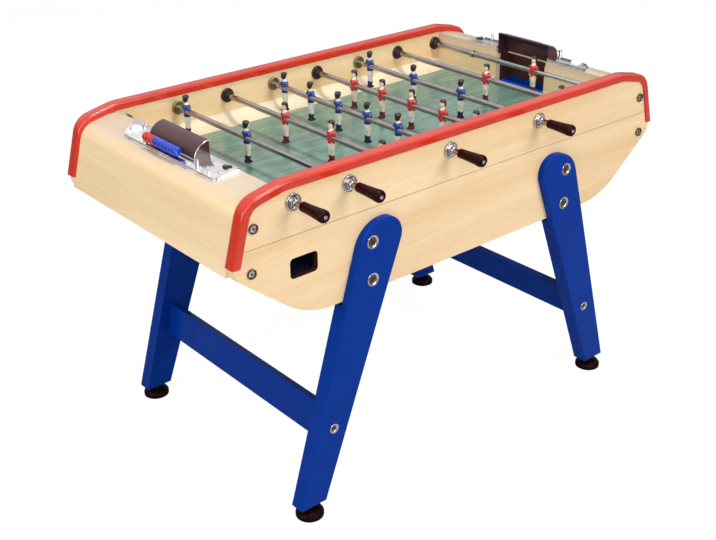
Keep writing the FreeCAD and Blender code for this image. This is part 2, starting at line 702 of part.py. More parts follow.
def end_cleat(name, low):
    """A cleat behind the end piece, against a side panel, that the end bolts go into."""
    body = new_body(name)
    near, far = f"({FACE_IN} + Sizes.cleat_gap)", f"({FACE_IN} + Sizes.cleat_gap + Sizes.cleat_width)"
    outer, inner = toe_x(near, FLOOR_IN), toe_x(far, FLOOR_IN)
    corners = [(inner, slope_z(FLOOR_IN, inner)), (outer, slope_z(FLOOR_IN, outer)),
               (edge_x(near, "Sizes.cleat_top"), "Sizes.cleat_top"),
               (edge_x(far, "Sizes.cleat_top"), "Sizes.cleat_top")]
    pad(body, sketch_polygon(body, name + "Outline", "XZ_Plane", corners), "Sizes.cleat_wall")
    spots = [(END_BOLTS[item], f"Sizes.end_bolt_{item}", "Sizes.bolt_radius")
             for item in ("high", "low")]
    pocket(body, sketch_circles(body, name + "Bolts", "XZ_Plane", spots))
    return place(body, y=low)


FAR_TO_NEAR = (0, 1, 0)


def mirrored(item, name, normal=(1, 0, 0)):
    """The same piece on the other side of the table."""
    twin = doc.addObject("Part::Mirroring", name)
    twin.Source = item
    twin.Normal = normal
    return twin


def bend_x(inset):
    """X where an inset copy of the lower edge starts to rise."""
    return f"(Sizes.belly_half - ({inset})*tan(Sizes.belly_slope/2))"


def bottom_board(name, corners):
    body = new_body(name)
    pad(body, sketch_polygon(body, name + "Outline", "XZ_Plane", corners, f"-{INNER_Y}"),
        f"2*{INNER_Y}")
    return body


def cabinet_bottom():
    """A flat board and a rising board at each end, mitred where they meet."""
    low, high = "Sizes.bottom_inset", FLOOR_IN
    bend_low = (bend_x(low), f"Sizes.belly + {low}")
    bend_high = (bend_x(high), f"Sizes.belly + {high}")
    flat = bottom_board("FlatBottom", [(f"-{bend_low[0]}", bend_low[1]), bend_low, bend_high,
                                       (f"-{bend_high[0]}", bend_high[1])])
    tip_low, tip_high = toe_x(FACE_IN, low), toe_x(FACE_IN, high)
    rise = bottom_board("RisingBottom", [bend_low, (tip_low, slope_z(low, tip_low)),
                                         (tip_high, slope_z(high, tip_high)), bend_high])
    return keep(group("cabinet_bottom", [flat, rise, mirrored(rise, "RisingBottomLeft")]))


# ---------------------------------------------------------------- field and goals

def cove(name, length, width, rise, x, y, turn):
    """A bank with a hollow face, tangent to the field: length along its own X, wall on +Y."""
    radius = f"(({width})*({width}) + ({rise})*({rise}))/(2*({rise}))"
    block = box(name + "Block", ("0", "0", "0"), (length, width, rise))
    hollow = doc.addObject("Part::Cylinder", name + "Hollow")
    hollow.setExpression("Radius", radius)
    hollow.setExpression("Height", f"{length} + 2")
    place(hollow, "-1", "0", radius, Rotation(Vector(0, 1, 0), 90))
    bank = doc.addObject("Part::Cut", name)
    bank.Base, bank.Tool = block, hollow
    return place(bank, x, y, "Sizes.field_top", Rotation(Vector(0, 0, 1), turn))


def field_banks():
    """The banks along one side panel and up to both goals are one piece; there are two."""
    side = cove("SideBank", "2*Sizes.pitch_half", "Sizes.bank_width", "Sizes.bank_rise",
                "-Sizes.pitch_half", f"{INNER_Y} - Sizes.bank_width", 0)
    end = cove("EndBank", f"{INNER_Y} - Sizes.goal_half", "Sizes.end_bank_width",
               "Sizes.end_bank_rise", "Sizes.pitch_half - Sizes.end_bank_width", INNER_Y, -90)
    ring = doc.addObject("Part::MultiFuse", "FarBanks")
    ring.Shapes = [side, end, mirrored(end, "EndBankLeft")]
    return keep(group("field_banks", [ring, mirrored(ring, "NearBanks", FAR_TO_NEAR)]))


def goal_box(skin):
    """The box behind the right goal mouth: its floor, and the slot where the ball drops."""
    low, floor = "Sizes.field_top - Sizes.goal_sill", "Sizes.field_top"
    back = "(Sizes.pitch_half + Sizes.goal_depth)"
    behind = "(Sizes.pitch_half + Sizes.end_wall)"
    wide = "(Sizes.goal_half + Sizes.goal_skin)"
    thin = "Sizes.goal_skin"
    box_shell = fused("GoalShell", [
        box("GoalFloor", ("Sizes.pitch_half", "-Sizes.goal_half", f"{floor} - {thin}"),
            (f"{back} - Sizes.goal_drop", "Sizes.goal_half", floor)),
        box("GoalSump", ("Sizes.pitch_half", "-Sizes.goal_half", low),
            (back, "Sizes.goal_half", f"{low} + {thin}")),
        box("GoalBack", (f"{back} - {thin}", f"-{wide}", low), (back, wide, TOP_IN)),
        box("GoalSideNear", (behind, f"-{wide}", low), (back, "-Sizes.goal_half", TOP_IN)),
        box("GoalSideFar", (behind, "Sizes.goal_half", low), (back, wide, TOP_IN)),
    ])
    return cut("GoalBox", box_shell, [skin])


def quarter(name, radius, half, drop):
    """A quarter barrel along Y with a straight skirt below it."""
    barrel = doc.addObject("Part::Cylinder", name + "Barrel")
    barrel.setExpression("Radius", radius)
    barrel.setExpression("Height", f"2*({half})")
    barrel.Angle = 90
    place(barrel, HOOD_X, half, END_TOP, Rotation(Vector(1, 0, 0), 90))
    skirt = box(name + "Skirt", (HOOD_X, f"-({half})", f"{TOP_IN} - ({drop})"),
                (f"{HOOD_X} + {radius}", half, END_TOP))
    return fused(name, [barrel, skirt])


def goal_hood():
    """The barrel-shaped hood over the right goal, open to the field and to the goal box."""
    outer = quarter("HoodOutside", "Sizes.hood_radius", HOOD_HALF, "0")
    inner = quarter("HoodInside", "(Sizes.hood_radius - Sizes.hood_wall)", "Sizes.goal_half", "5")
    return cut("GoalHood", outer, [inner])


# ---------------------------------------------------------------- scoring plates

PLATE_IN = "(Sizes.pitch_half + Sizes.plate_setin)"
PLATE_OUT = "(Sizes.pitch_half + Sizes.plate_setin + Sizes.plate_width)"
WIRE_X = "(Sizes.pitch_half + Sizes.wire_setin)"
WIRE_Z = f"({END_TOP} + Sizes.plate_wall + Sizes.wire_height)"


def bent_block(name, lift, near, length):
    """Everything above a surface that follows the end piece's bend, lifted by a distance."""
    inset, low = f"(Sizes.end_inset - {lift})", f"({END_TOP} - 2*Sizes.end_round)"
    start, corner = end_crest(lift)
    high, far_x = f"({END_TOP} + Sizes.end_round)", "(Sizes.half_length + Sizes.end_round)"
    line = [(PLATE_IN + " - 5", start[1]), start, corner, (edge_x(inset, low), low),
            (far_x, low), (far_x, high), (PLATE_IN + " - 5", high)]
    body = new_body(name)
    pad(body, sketch_polygon(body, f"{name}Line", "XZ_Plane", line, near), length)
    round_corners(body, [line[1]], f"Sizes.end_bend + {lift}", "y")
    round_corners(body, [line[2]], f"Sizes.end_round + {lift}", "y")
    return body


def plate_outline(name, inset):
    """An upright block with the plate's outline, all its sides moved in by a distance."""
    near, far = f"({inset} - Sizes.plate_near)", f"(Sizes.plate_far - {inset})"
    low = f"({END_TOP} - Sizes.end_round)"
    outline = [(f"{PLATE_IN} + {inset}", near), (f"{PLATE_OUT} - {inset}", near),
               (f"{PLATE_OUT} - {inset}", f"{far} - Sizes.plate_point_long"),
               (f"{PLATE_OUT} - Sizes.plate_point_wide", f"{far} - Sizes.plate_point_drop"),
               (f"{PLATE_IN} + {inset}", far)]
    body = new_body(name)
    pad(body, sketch_polygon(body, f"{name}Plan", "XY_Plane", outline, low), "2*Sizes.end_round")
    round_corners(body, [outline[1]], f"Sizes.plate_nose - {inset}", "z")
    return body


def common(name, base, tool):
    """What two shapes share."""
    shared = doc.addObject("Part::Common", name)
    shared.Base, shared.Tool = base, tool
    return shared


def sphere(name, radius, x, y, z):
    ball = doc.addObject("Part::Sphere", name)
    ball.setExpression("Radius", radius)
    return place(ball, x, y, z)


PLATE_REACH = ("-Sizes.plate_far - 10", "2*Sizes.plate_far + 20")
PLATE_TOP = f"({END_TOP} + Sizes.plate_wall)"
BALL_Z = f"({PLATE_TOP} - Sizes.ball_sunk)"


def score_plate():
    """A low plate bent to the end piece, with a thin lip round it and a bowl for the ball."""
    above_end = bent_block("AboveEnd", "0", *PLATE_REACH)
    above_lip = bent_block("AboveLip", "Sizes.plate_lip", *PLATE_REACH)
    above_top = bent_block("AboveTop", "Sizes.plate_wall", *PLATE_REACH)
    lip = cut("PlateLip", common("PlateLipStock", above_end, plate_outline("PlateOutline", "0")),
              [above_lip])
    middle = common("PlateMiddle", above_end, plate_outline("PlateMiddleOutline", "Sizes.plate_lip_wide"))
    bowl_at = (BOWL_X, "Sizes.ball_along",
               f"({BALL_Z} - Sizes.ball_radius - Sizes.ball_gap + Sizes.bowl_radius)")
    raised = cut("PlateRaised", fused("PlateWithBowl", [middle, sphere("BowlOutside", BOWL_OUT, *bowl_at)]),
                 [above_top])
    pin = cylinder("PlatePin", "Sizes.peg_radius", "Sizes.peg_height + Sizes.end_round", WIRE_X,
                   "-Sizes.peg_along", f"{PLATE_TOP} - Sizes.end_round")
    peg = common("PlatePeg", pin, above_end)
    hood = box("PlateSlot", (f"{PLATE_IN} - 5", f"-{HOOD_HALF}", f"{END_TOP} - Sizes.end_round"),
               (HOOD_BACK, HOOD_HALF, f"{PLATE_TOP} + 5"))
    return cut("ScorePlate", fused("PlateWithPeg", [lip, raised, peg]),
               [sphere("BowlInside", "Sizes.bowl_radius", *bowl_at), hood])


def score_wire():
    """The wire the beads slide on, with its two posts."""
    foot = f"({END_TOP} - 12)"
    posts = [cylinder(f"WirePost{index}", "Sizes.post_radius",
                      f"{WIRE_Z} + Sizes.post_radius - ({foot})", WIRE_X, along, foot)
             for index, along in enumerate(("Sizes.wire_far", "-Sizes.wire_near"))]
    wire = cylinder("WireRod", "Sizes.wire_radius", "Sizes.wire_far + Sizes.wire_near",
                    WIRE_X, "-Sizes.wire_near", WIRE_Z, "+Y")
    return fused("ScoreWire", posts + [wire])


BEAD_COUNT = 10


def beads():
    """The bead that every place on both wires uses."""
    half, radius = "Sizes.bead_length/2", "Sizes.bead_radius"
    bore = "Sizes.wire_radius + Sizes.bead_bore"
    return turned("Bead", [(bore, f"-{half}"), (f"{radius} - 2.5", f"-{half}"),
                           (radius, f"-{half} + 2.5"), (radius, f"{half} - 2.5"),
                           (f"{radius} - 2.5", half), (bore, half)])


def bead_row(label, bead, sign, post):
    """All the beads of one end, pushed to the post nearest the far side."""
    first = f"{post} - Sizes.post_radius - 1 - Sizes.bead_length/2"
    row = [linked(f"{label}_{index}", bead, f"{sign}{WIRE_X}",
                  f"{first} - {index}*Sizes.bead_pitch", WIRE_Z, "+Y")
           for index in range(BEAD_COUNT)]
    return keep(group(label, row))


# ---------------------------------------------------------------- legs

LEG_INNER_Y = "(Sizes.half_width + Sizes.leg_lap - Sizes.leg_wall)"
LEG_MID_X = "((Sizes.leg_out_foot + Sizes.leg_in_foot)/2)"
LEG_LEAN = ("((Sizes.leg_out_foot + Sizes.leg_in_foot - Sizes.leg_out_top - Sizes.leg_in_top)/2"
            "/(Sizes.leg_top - Sizes.leg_foot))")
BEAM_X = f"({LEG_MID_X} - {LEG_LEAN}*(Sizes.beam_level - Sizes.leg_foot))"
LEG_BOLTS = [("Sizes.bolt_along", "Sizes.bolt_high"), ("Sizes.bolt_along", "Sizes.bolt_low")]
BEAM_BOLT = (BEAM_X, "Sizes.beam_level")


def outline_edges(shape, depth):
    """Edges of the flat face at a depth."""
    names = []
    for index, edge in enumerate(shape.Edges, start=1):
        ends = [vertex.Point for vertex in edge.Vertexes]
        if len(ends) == 2 and all(abs(p.y - depth) < 1e-6 for p in ends):
            names.append(f"Edge{index}")
    return names


def leg():
    """The near right leg: it laps the panel above its shoulder and is thicker below."""
    body = new_body("Leg")
    corners = [("Sizes.leg_in_foot", "Sizes.leg_foot"), ("Sizes.leg_out_foot", "Sizes.leg_foot"),
               ("Sizes.leg_out_top", "Sizes.leg_top"), ("Sizes.leg_in_top", "Sizes.leg_top")]
    pad(body, sketch_polygon(body, "LegOutline", "XZ_Plane", corners), "Sizes.leg_wall")
    above = "Sizes.leg_top + 10"
    lap = [("Sizes.leg_in_top - 50", "Sizes.leg_shoulder"),
           ("Sizes.leg_out_foot + 50", "Sizes.leg_shoulder"),
           ("Sizes.leg_out_foot + 50", above), ("Sizes.leg_in_top - 50", above)]
    pocket(body, sketch_polygon(body, "LegLap", "XZ_Plane", lap),
           "Sizes.leg_wall - Sizes.leg_lap", toward_back=True)
    round_corners(body, [corners[2]], "Sizes.leg_round_out", "y")
    round_corners(body, [corners[3]], "Sizes.leg_round_in", "y")
    tip = body.Tip
    bevel = body.newObject("PartDesign::Chamfer", "LegBevel")
    bevel.Base = (tip, outline_edges(tip.Shape, -size("Sizes.leg_wall")))
    bevel.setExpression("Size", "Sizes.leg_bevel")
    doc.recompute()
    cups = [(x, z, "Sizes.bolt_cup") for x, z in LEG_BOLTS] + [(*BEAM_BOLT, "Sizes.beam_bolt_cup")]
    pocket(body, sketch_circles(body, "LegCups", "XZ_Plane", cups, "Sizes.leg_wall"),
           "Sizes.bolt_cup_depth")
    shanks = [(x, z, "Sizes.bolt_radius") for x, z in LEG_BOLTS + [BEAM_BOLT]]
    pocket(body, sketch_circles(body, "LegShanks", "XZ_Plane", shanks))
    stem = [(LEG_MID_X, "-Sizes.leg_wall/2", "Sizes.stem_radius + Sizes.stem_play")]
    pocket(body, sketch_circles(body, "LegStem", "XY_Plane", stem, "Sizes.leg_foot"),
           "Sizes.puck_height + Sizes.stem_length + Sizes.stem_room - Sizes.leg_foot",
           toward_back=True)
    return place(body, y=f"-{LEG_INNER_Y}")


def legs():
    """Four handed legs."""
    near_right = leg()
    far_right = mirrored(near_right, "LegFar", FAR_TO_NEAR)
    for label, item in (("leg_near_right", near_right), ("leg_far_right", far_right),
                        ("leg_near_left", mirrored(near_right, "LegNearLeft")),
                        ("leg_far_left", mirrored(far_right, "LegFarLeft"))):
        item.Label = label
        keep(item)


def stretchers():
    """A leaning board between the two legs of each end."""
    body = new_body("Stretcher")
    wide, high = "Sizes.beam_wall/2", "Sizes.beam_height/2"
    turn = "Sizes.beam_tilt"
    corners = []
    for across, up in ((-1, -1), (1, -1), (1, 1), (-1, 1)):
        corners.append((
            f"{BEAM_X} + {across}*{wide}*cos({turn}) - {up}*{high}*sin({turn})",
            f"Sizes.beam_level + {across}*{wide}*sin({turn}) + {up}*{high}*cos({turn})"))
    pad(body, sketch_polygon(body, "StretcherOutline", "XZ_Plane", corners, f"-{LEG_INNER_Y}"),
        f"2*{LEG_INNER_Y}")
    hole = [(*BEAM_BOLT, "Sizes.bolt_radius")]
    pocket(body, sketch_circles(body, "StretcherNear", "XZ_Plane", hole, LEG_INNER_Y),
           "Sizes.beam_bolt_grip")
    pocket(body, sketch_circles(body, "StretcherFar", "XZ_Plane", hole, f"-{LEG_INNER_Y}"),
           "Sizes.beam_bolt_grip", toward_back=True)
    return keep(group("stretchers", [body, mirrored(body, "StretcherLeft")]))


def bolt(name, cup, length, seat, spots):
    """Bolts of one length at the four corners of the table."""
    washer, head = "Sizes.washer_wall", "(Sizes.washer_wall + Sizes.bolt_head)"
    profile = [("0", f"-({length})"), ("Sizes.bolt_radius", f"-({length})"),
               ("Sizes.bolt_radius", "0"), (cup, "0"), (cup, washer),
               (f"{cup}*0.6", washer), (f"{cup}*0.6", f"{head} - 1"), (f"{cup}*0.6 - 1", head),
               (f"{cup}*0.3", head), (f"{cup}*0.3", f"{head} - Sizes.bolt_socket"),
               ("0", f"{head} - Sizes.bolt_socket")]
    solid = turned(name, profile)
    made = []
    for index, (x, z) in enumerate(spots):
        for end, sign in (("Right", ""), ("Left", "-")):
            made.append(linked(f"{name}Near{end}{index}", solid, f"{sign}{x}", f"-({seat})", z, "-Y"))
            made.append(linked(f"{name}Far{end}{index}", solid, f"{sign}{x}", f"({seat})", z, "+Y"))
    return made


def cabinet_bolts():
    seat = "Sizes.half_width + Sizes.leg_lap - Sizes.bolt_cup_depth"
    lap = "Sizes.leg_lap - Sizes.bolt_cup_depth"
    items = bolt("LegBolt", "Sizes.bolt_cup", f"{lap} + Sizes.bolt_grip", seat, LEG_BOLTS)
    items += bolt("BeamBolt", "Sizes.beam_bolt_cup",
                  "Sizes.leg_wall - Sizes.bolt_cup_depth + Sizes.beam_bolt_grip", seat, [BEAM_BOLT])
    ends = [(x, f"Sizes.end_bolt_{item}") for item, x in END_BOLTS.items()]
    items += bolt("EndBolt", "Sizes.end_bolt_cup", "Sizes.panel_wall + Sizes.end_bolt_grip",
                  "Sizes.half_width", ends)
    return keep(group("cabinet_bolts", items))


def levelling_feet():
    """A round pad on a stem under each leg."""
    stem, top = "Sizes.stem_radius", "Sizes.puck_height"
    profile = [("0", "0"), ("Sizes.puck_radius - 1.5", "0"), ("Sizes.puck_radius", "1.5"),
               ("Sizes.puck_radius", f"{top}/2"),
               ("Sizes.puck_radius - Sizes.puck_round", f"{top}*0.75"),
               ("Sizes.stem_radius + 6", top), (stem, top), (stem, f"{top} + Sizes.stem_length"),
               ("0", f"{top} + Sizes.stem_length")]
    along = f"({LEG_INNER_Y} + Sizes.leg_wall/2)"
    for side, depth in (("near", "-"), ("far", "")):
        for end, sign in (("left", "-"), ("right", "")):
            keep(turned(f"foot_{side}_{end}", profile, f"{sign}{LEG_MID_X}", f"{depth}{along}",
                        "0", "+Z"))


# ---------------------------------------------------------------- bearings and ball return

PLAY_BORE = "(Sizes.tube_radius + Sizes.running_play)"


def bearings():
    """Outside flange with its barrel through the panel, and the bush inside, for each rod."""
    rim = "Sizes.flange_radius"
    outer = turned("Flange", [
        (PLAY_BORE, "-Sizes.panel_wall"), ("Sizes.barrel_radius", "-Sizes.panel_wall"),
        ("Sizes.barrel_radius", "0"), (rim, "0"), (rim, "Sizes.flange_wall - 2"),
        (f"{rim} - 2", "Sizes.flange_wall"), ("Sizes.boss_radius", "Sizes.flange_wall"),
        ("Sizes.boss_radius", "Sizes.boss_height"), (PLAY_BORE, "Sizes.boss_height"),
    ])
    bush = "Sizes.bush_radius"
    inner = turned("Bush", [
        (PLAY_BORE, "0"), (bush, "0"), (bush, "Sizes.bush_wall - 2"),
        (f"{bush} - 2", "Sizes.bush_wall"), ("Sizes.sleeve_radius", "Sizes.bush_wall"),
        ("Sizes.sleeve_radius", "Sizes.sleeve_height"), (PLAY_BORE, "Sizes.sleeve_height"),
    ])
    made = []
    for number in RODS:
        side = grip_side(number)
        outward, inward = ("-Y", "+Y") if side < 0 else ("+Y", "-Y")
        for source, depth, toward in ((outer, "Sizes.half_width", outward), (inner, INNER_Y, inward)):
            made.append(linked(f"{source.Name}{number}", source, rod_x(number),
                               f"{side}*{depth}", "Sizes.rod_height", toward))
    return keep(group("rod_bearings", made))


def core_sockets():
    """The disc that holds each core, on the panel across from its grip."""
    bore = "(Sizes.core_radius + Sizes.running_play)"
    deep = "(Sizes.core_inset + Sizes.core_end_play)"
    source = turned("Socket", [
        ("0", "-Sizes.core_inset - 4"), ("Sizes.stub_radius", "-Sizes.core_inset - 4"),
        ("Sizes.stub_radius", "0"), ("Sizes.socket_radius", "0"),
        ("Sizes.socket_radius", "Sizes.socket_wall - 1.5"),
        ("Sizes.socket_radius - 1.5", "Sizes.socket_wall"), (bore, "Sizes.socket_wall"),
        (bore, f"-{deep}"), ("0", f"-{deep}"),
    ])
    made = []
    for number in RODS:
        side = -grip_side(number)
        made.append(linked(f"Socket{number}", source, rod_x(number), f"{side}*{INNER_Y}",
                           "Sizes.rod_height", "+Y" if side < 0 else "-Y"))
    return keep(group("core_sockets", made))


def ball_chute():
    """A wide tray under the field from the right goal, and a cross tray to the ball hole."""
    wall, rise = "Sizes.chute_wall", "Sizes.chute_side"
    high = "(Sizes.field_top - Sizes.goal_sill - 2)"
    mid = f"({high} - Sizes.chute_rise)"
    low = "(Sizes.hole_low + 3)"
    wide = "Sizes.goal_half"
    left, right = "-Sizes.hole_right", "Sizes.pitch_half"
    tray = new_body("Tray")
    side_view = [(left, f"{mid} - {wall}"), (right, f"{high} - {wall}"),
                 (right, f"{high} + {rise}"), (left, f"{mid} + {rise}")]
    pad(tray, sketch_polygon(tray, "TrayOutline", "XZ_Plane", side_view, f"-{wide} - {wall}"),
        f"2*({wide} + {wall})")
    inside = [(f"{left} - 10", mid), (left, mid), (right, high), (f"{right} + 10", high),
              (f"{right} + 10", f"{high} + {rise} + 5"), (f"{left} - 10", f"{high} + {rise} + 5")]
    pocket(tray, sketch_polygon(tray, "TrayInside", "XZ_Plane", inside, f"-{wide}"), f"2*{wide}",
           toward_back=True)
    cross = new_body("CrossTray")
    edge = f"{wide} + {wall}"
    end_view = [(f"-{INNER_Y}", f"{low} - {wall}"), (edge, f"{mid} - 2*{wall}"),
                (edge, f"{mid} + {rise} - {wall}"), (f"-{INNER_Y}", f"{low} + {rise}")]
    pad(cross, sketch_polygon(cross, "CrossOutline", "YZ_Plane", end_view, "-Sizes.pitch_half"),
        f"Sizes.pitch_half - Sizes.hole_right + {wall}")
    hollow = [(f"-{INNER_Y} - 10", low), (f"-{INNER_Y}", low), (wide, f"{mid} - {wall}"),
              (wide, f"{mid} + {rise} + 5"), (f"-{INNER_Y} - 10", f"{mid} + {rise} + 5")]
    pocket(cross, sketch_polygon(cross, "CrossInside", "YZ_Plane", hollow, "-Sizes.hole_left"),
           "Sizes.hole_left - Sizes.hole_right", toward_back=True)
    gate = box("TrayGate", (f"{left} - 1", f"-{wide}", mid),
               (f"{left} + {wall} + 1", wide, f"{mid} + {rise} + 20"))
    chute = cut("BallChute", fused("Trays", [tray, cross]), [gate])
    return keep(group("ball_chute", [chute]))


# ---------------------------------------------------------------- figures and rods

def figure():
    """A player facing +X on a rod along Y: side view and front view intersected, with a head."""
    foot, ankle, hem = "-Sizes.foot_drop", "-Sizes.ankle_drop", "-Sizes.hem_drop"
    waist, shoulder, neck = "-Sizes.waist_drop", "Sizes.shoulder_rise", "Sizes.neck_rise"
    chest, shin, throat = "Sizes.chest_half", "Sizes.shin_half", "Sizes.neck_half"
    toe, heel, boot = "Sizes.toe_reach", "Sizes.heel_reach", "Sizes.boot_half"
    side = new_body("FigureSide")
    outline = [
        (f"-{heel}", foot), (toe, foot), (toe, f"{foot} + 5"), (shin, ankle),
        (f"{shin} + 1", f"{hem} - 3"), (f"{chest} - 2", hem), (f"{chest} - 1.5", waist),
        (chest, f"{waist} + 8"), (chest, f"{shoulder} - 7"), (f"{chest} - 4", shoulder),
        (throat, f"{shoulder} + 3"), (throat, neck), (f"-{throat}", neck),
        (f"-{throat}", f"{shoulder} + 3"), (f"4 - {chest}", shoulder), (f"-{chest}", f"{shoulder} - 7"),
        (f"-{chest}", f"{waist} + 8"), (f"2 - {chest}", waist), (f"2 - {chest}", hem),
        (f"-{shin}", f"{hem} - 3"), (f"-{shin}", ankle), (f"-{heel}", f"{ankle} - 3"),
    ]
    half = "Sizes.figure_half"
    pad(side, sketch_polygon(side, "FigureSideView", "XZ_Plane", outline, f"-{half}"), f"2*{half}")
    front = new_body("FigureFront")
    hip = "Sizes.hem_half"
    right = [
        (boot, foot), (boot, f"{ankle} - 2"), (f"{boot} - 1", ankle), (boot, f"{hem} - 3"),
        (hip, hem), (hip, "-Sizes.hand_drop"), (half, "-Sizes.hand_drop"),
        (half, f"{shoulder} - 9"), (f"{half} - 3", f"{shoulder} - 1"), (throat, f"{shoulder} + 3"),
        (throat, neck),
    ]
    mirror = [(f"-({y})", z) for y, z in reversed(right)]
    pad(front, sketch_polygon(front, "FigureFrontView", "YZ_Plane", right + mirror, f"-{chest} - 9"),
        f"2*({chest} + 9)")
    trunk = doc.addObject("Part::Common", "FigureTrunk")
    trunk.Base, trunk.Tool = side, front
    head = doc.addObject("Part::Ellipsoid", "FigureHead")
    head_low = f"({neck} - 2)"
    head.setExpression("Radius1", f"(Sizes.head_rise - {head_low})/2")
    head.setExpression("Radius2", "Sizes.head_half")
    head.setExpression("Radius3", "Sizes.head_half - 0.5")
    place(head, "0", "0", f"(Sizes.head_rise + {head_low})/2")
    bore = cylinder("FigureBore", "Sizes.tube_radius", "2*Sizes.figure_half + 2",
                    "0", "-Sizes.figure_half - 1", "0", "+Y")
    return cut("Figure", fused("FigureWhole", [trunk, head]), [bore])


def rod(number, player):
    """Core, tube, figures and grip of one rod, four nodes."""
    team, row, share, _ = RODS[number]
    side = grip_side(number)
    gap = "0" if row == "keeper" else f"Sizes.gap_{row}"
    rest = f"(Sizes.rest_{share}*Sizes.throw_{row})"
    reach = f"(Sizes.half_width + Sizes.boss_height + Sizes.throw_{row} + Sizes.stop_{row})"
    spots = ROWS[row].split()
    toward = "+Y" if side > 0 else "-Y"
    bore = "(Sizes.core_radius + Sizes.running_play)"
    x, z = rod_x(number), "Sizes.rod_height"
    core = cylinder(f"rod_{number}_core", "Sizes.core_radius",
                    f"{INNER_Y} + Sizes.core_inset + Sizes.core_short",
                    x, f"{-side}*({INNER_Y} + Sizes.core_inset)", z, toward)
    tail = f"({gap}*{spots[-1]} + Sizes.tube_tail)"
    length = f"({tail} + {reach} + Sizes.grip_socket)"
    tube = turned(f"rod_{number}_tube_pipe", [
        (bore, "0"), ("Sizes.tube_radius", "0"), ("Sizes.tube_radius", length), (bore, length),
    ], x, f"{rest} - {side}*{tail}", z, toward)
    pieces = [tube]
    if row == "keeper":
        ring = "Sizes.collar_radius"
        pieces.append(turned(f"Collar{number}", [
            ("Sizes.tube_radius", "-Sizes.collar_length/2"), (f"{ring} - 1", "-Sizes.collar_length/2"),
            (ring, "1 - Sizes.collar_length/2"), (ring, "Sizes.collar_length/2 - 1"),
            (f"{ring} - 1", "Sizes.collar_length/2"), ("Sizes.tube_radius", "Sizes.collar_length/2"),
        ], x, f"{rest} + {side}*Sizes.collar_along", z, toward))
    figures = []
    for index, spot in enumerate(spots):
        turn = Rotation(Vector(0, 0, 1), 0 if team == "blue" else 180)
        figures.append(linked(f"Player{number}_{index}", player, x,
                              f"{rest} + {gap}*({spot})", z, turn))
    small, large, length = "Sizes.grip_small", "Sizes.grip_large", "Sizes.grip_length"
    grip = turned(f"rod_{number}_handle", [
        ("Sizes.tube_radius", "0"), (f"{small} - 1", "0"), (small, "1"),
        (f"{small}*0.7 + {large}*0.3", f"{length}*0.35"), (large, f"{length}*0.8"),
        (large, f"{length}*0.9"), (f"{large} - 3", f"{length} - 2.5"), (f"{large} - 8", length),
        ("0", length), ("0", "Sizes.grip_socket"), ("Sizes.tube_radius", "Sizes.grip_socket"),
    ], x, f"{rest} + {side}*{reach}", z, toward)
    keep(core)
    keep(group(f"rod_{number}_tube", pieces))
    keep(group(f"rod_{number}_figures", figures))
    keep(grip)


# ---------------------------------------------------------------- the table

def build_table():
    side_panel("side_panel_near", -1)
    side_panel("side_panel_far", 1)
    far_rail = rail()
    keep(group("top_rails", [far_rail, mirrored(far_rail, "RailNear", FAR_TO_NEAR)]))

    skin, wall = end_skin(), end_wall()
    cleats = [end_cleat("CleatFar", INNER_Y), end_cleat("CleatNear", f"Sizes.cleat_wall - {INNER_Y}")]
    keep(group("end_panel_right", [mirrored(skin, "EndSkinRight", FAR_TO_NEAR), wall] + cleats))
    keep(group("end_panel_left", [mirrored(item, item.Name + "Left") for item in [skin, wall] + cleats]))
    cabinet_bottom()

    keep(box("playfield", ("-Sizes.pitch_half", f"-{INNER_Y}", "Sizes.field_top - Sizes.field_wall"),
             ("Sizes.pitch_half", INNER_Y, "Sizes.field_top")))
    field_banks()
    for label, item in (("goal_boxes", goal_box(skin)), ("goal_hoods", goal_hood())):
        keep(group(label, [item, mirrored(item, item.Name + "Left")]))
    ball_chute()

    plate = score_plate()
    wire = cut("ScoreWireSeated", score_wire(), [fused("WireSeat", [plate, skin])])
    for label, item in (("score_plates", plate), ("score_wires", wire)):
        keep(group(label, [mirrored(item, item.Name + "Right", FAR_TO_NEAR),
                           mirrored(item, item.Name + "Left")]))
    bead = beads()
    bead_row("score_beads_right", bead, "", "Sizes.wire_near")
    bead_row("score_beads_left", bead, "-", "Sizes.wire_far")
    ball = doc.addObject("Part::Sphere", "GameBall")
    ball.setExpression("Radius", "Sizes.ball_radius")
    ball_z = f"{BALL_Z} - Sizes.ball_gap"
    keep(group("game_balls", [linked("GameBallLeft", ball, f"-{BOWL_X}", "Sizes.ball_along", ball_z),
                              linked("GameBallRight", ball, BOWL_X, "-Sizes.ball_along", ball_z)]))

    legs()
    stretchers()
    cabinet_bolts()
    levelling_feet()
    bearings()
    core_sockets()

    player = figure()
    for number in RODS:
        rod(number, player)


build_table()
doc.recompute()

for item in doc.Objects:
    if "Invalid" in item.State or "Error" in item.State:
        raise RuntimeError(f"{item.Label} did not recompute: {item.State}")

os.makedirs("parts", exist_ok=True)
for item in nodes:
    if item.Shape.isNull() or not item.Shape.isValid() or not item.Shape.Solids:
        raise RuntimeError(f"{item.Label} has no valid solid")
    item.Shape.exportStep(f"parts/{item.Label}.step")
print(len(nodes), "sub-parts written")
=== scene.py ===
"""Foosball table: finishes, detailed pieces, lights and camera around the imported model."""
import math

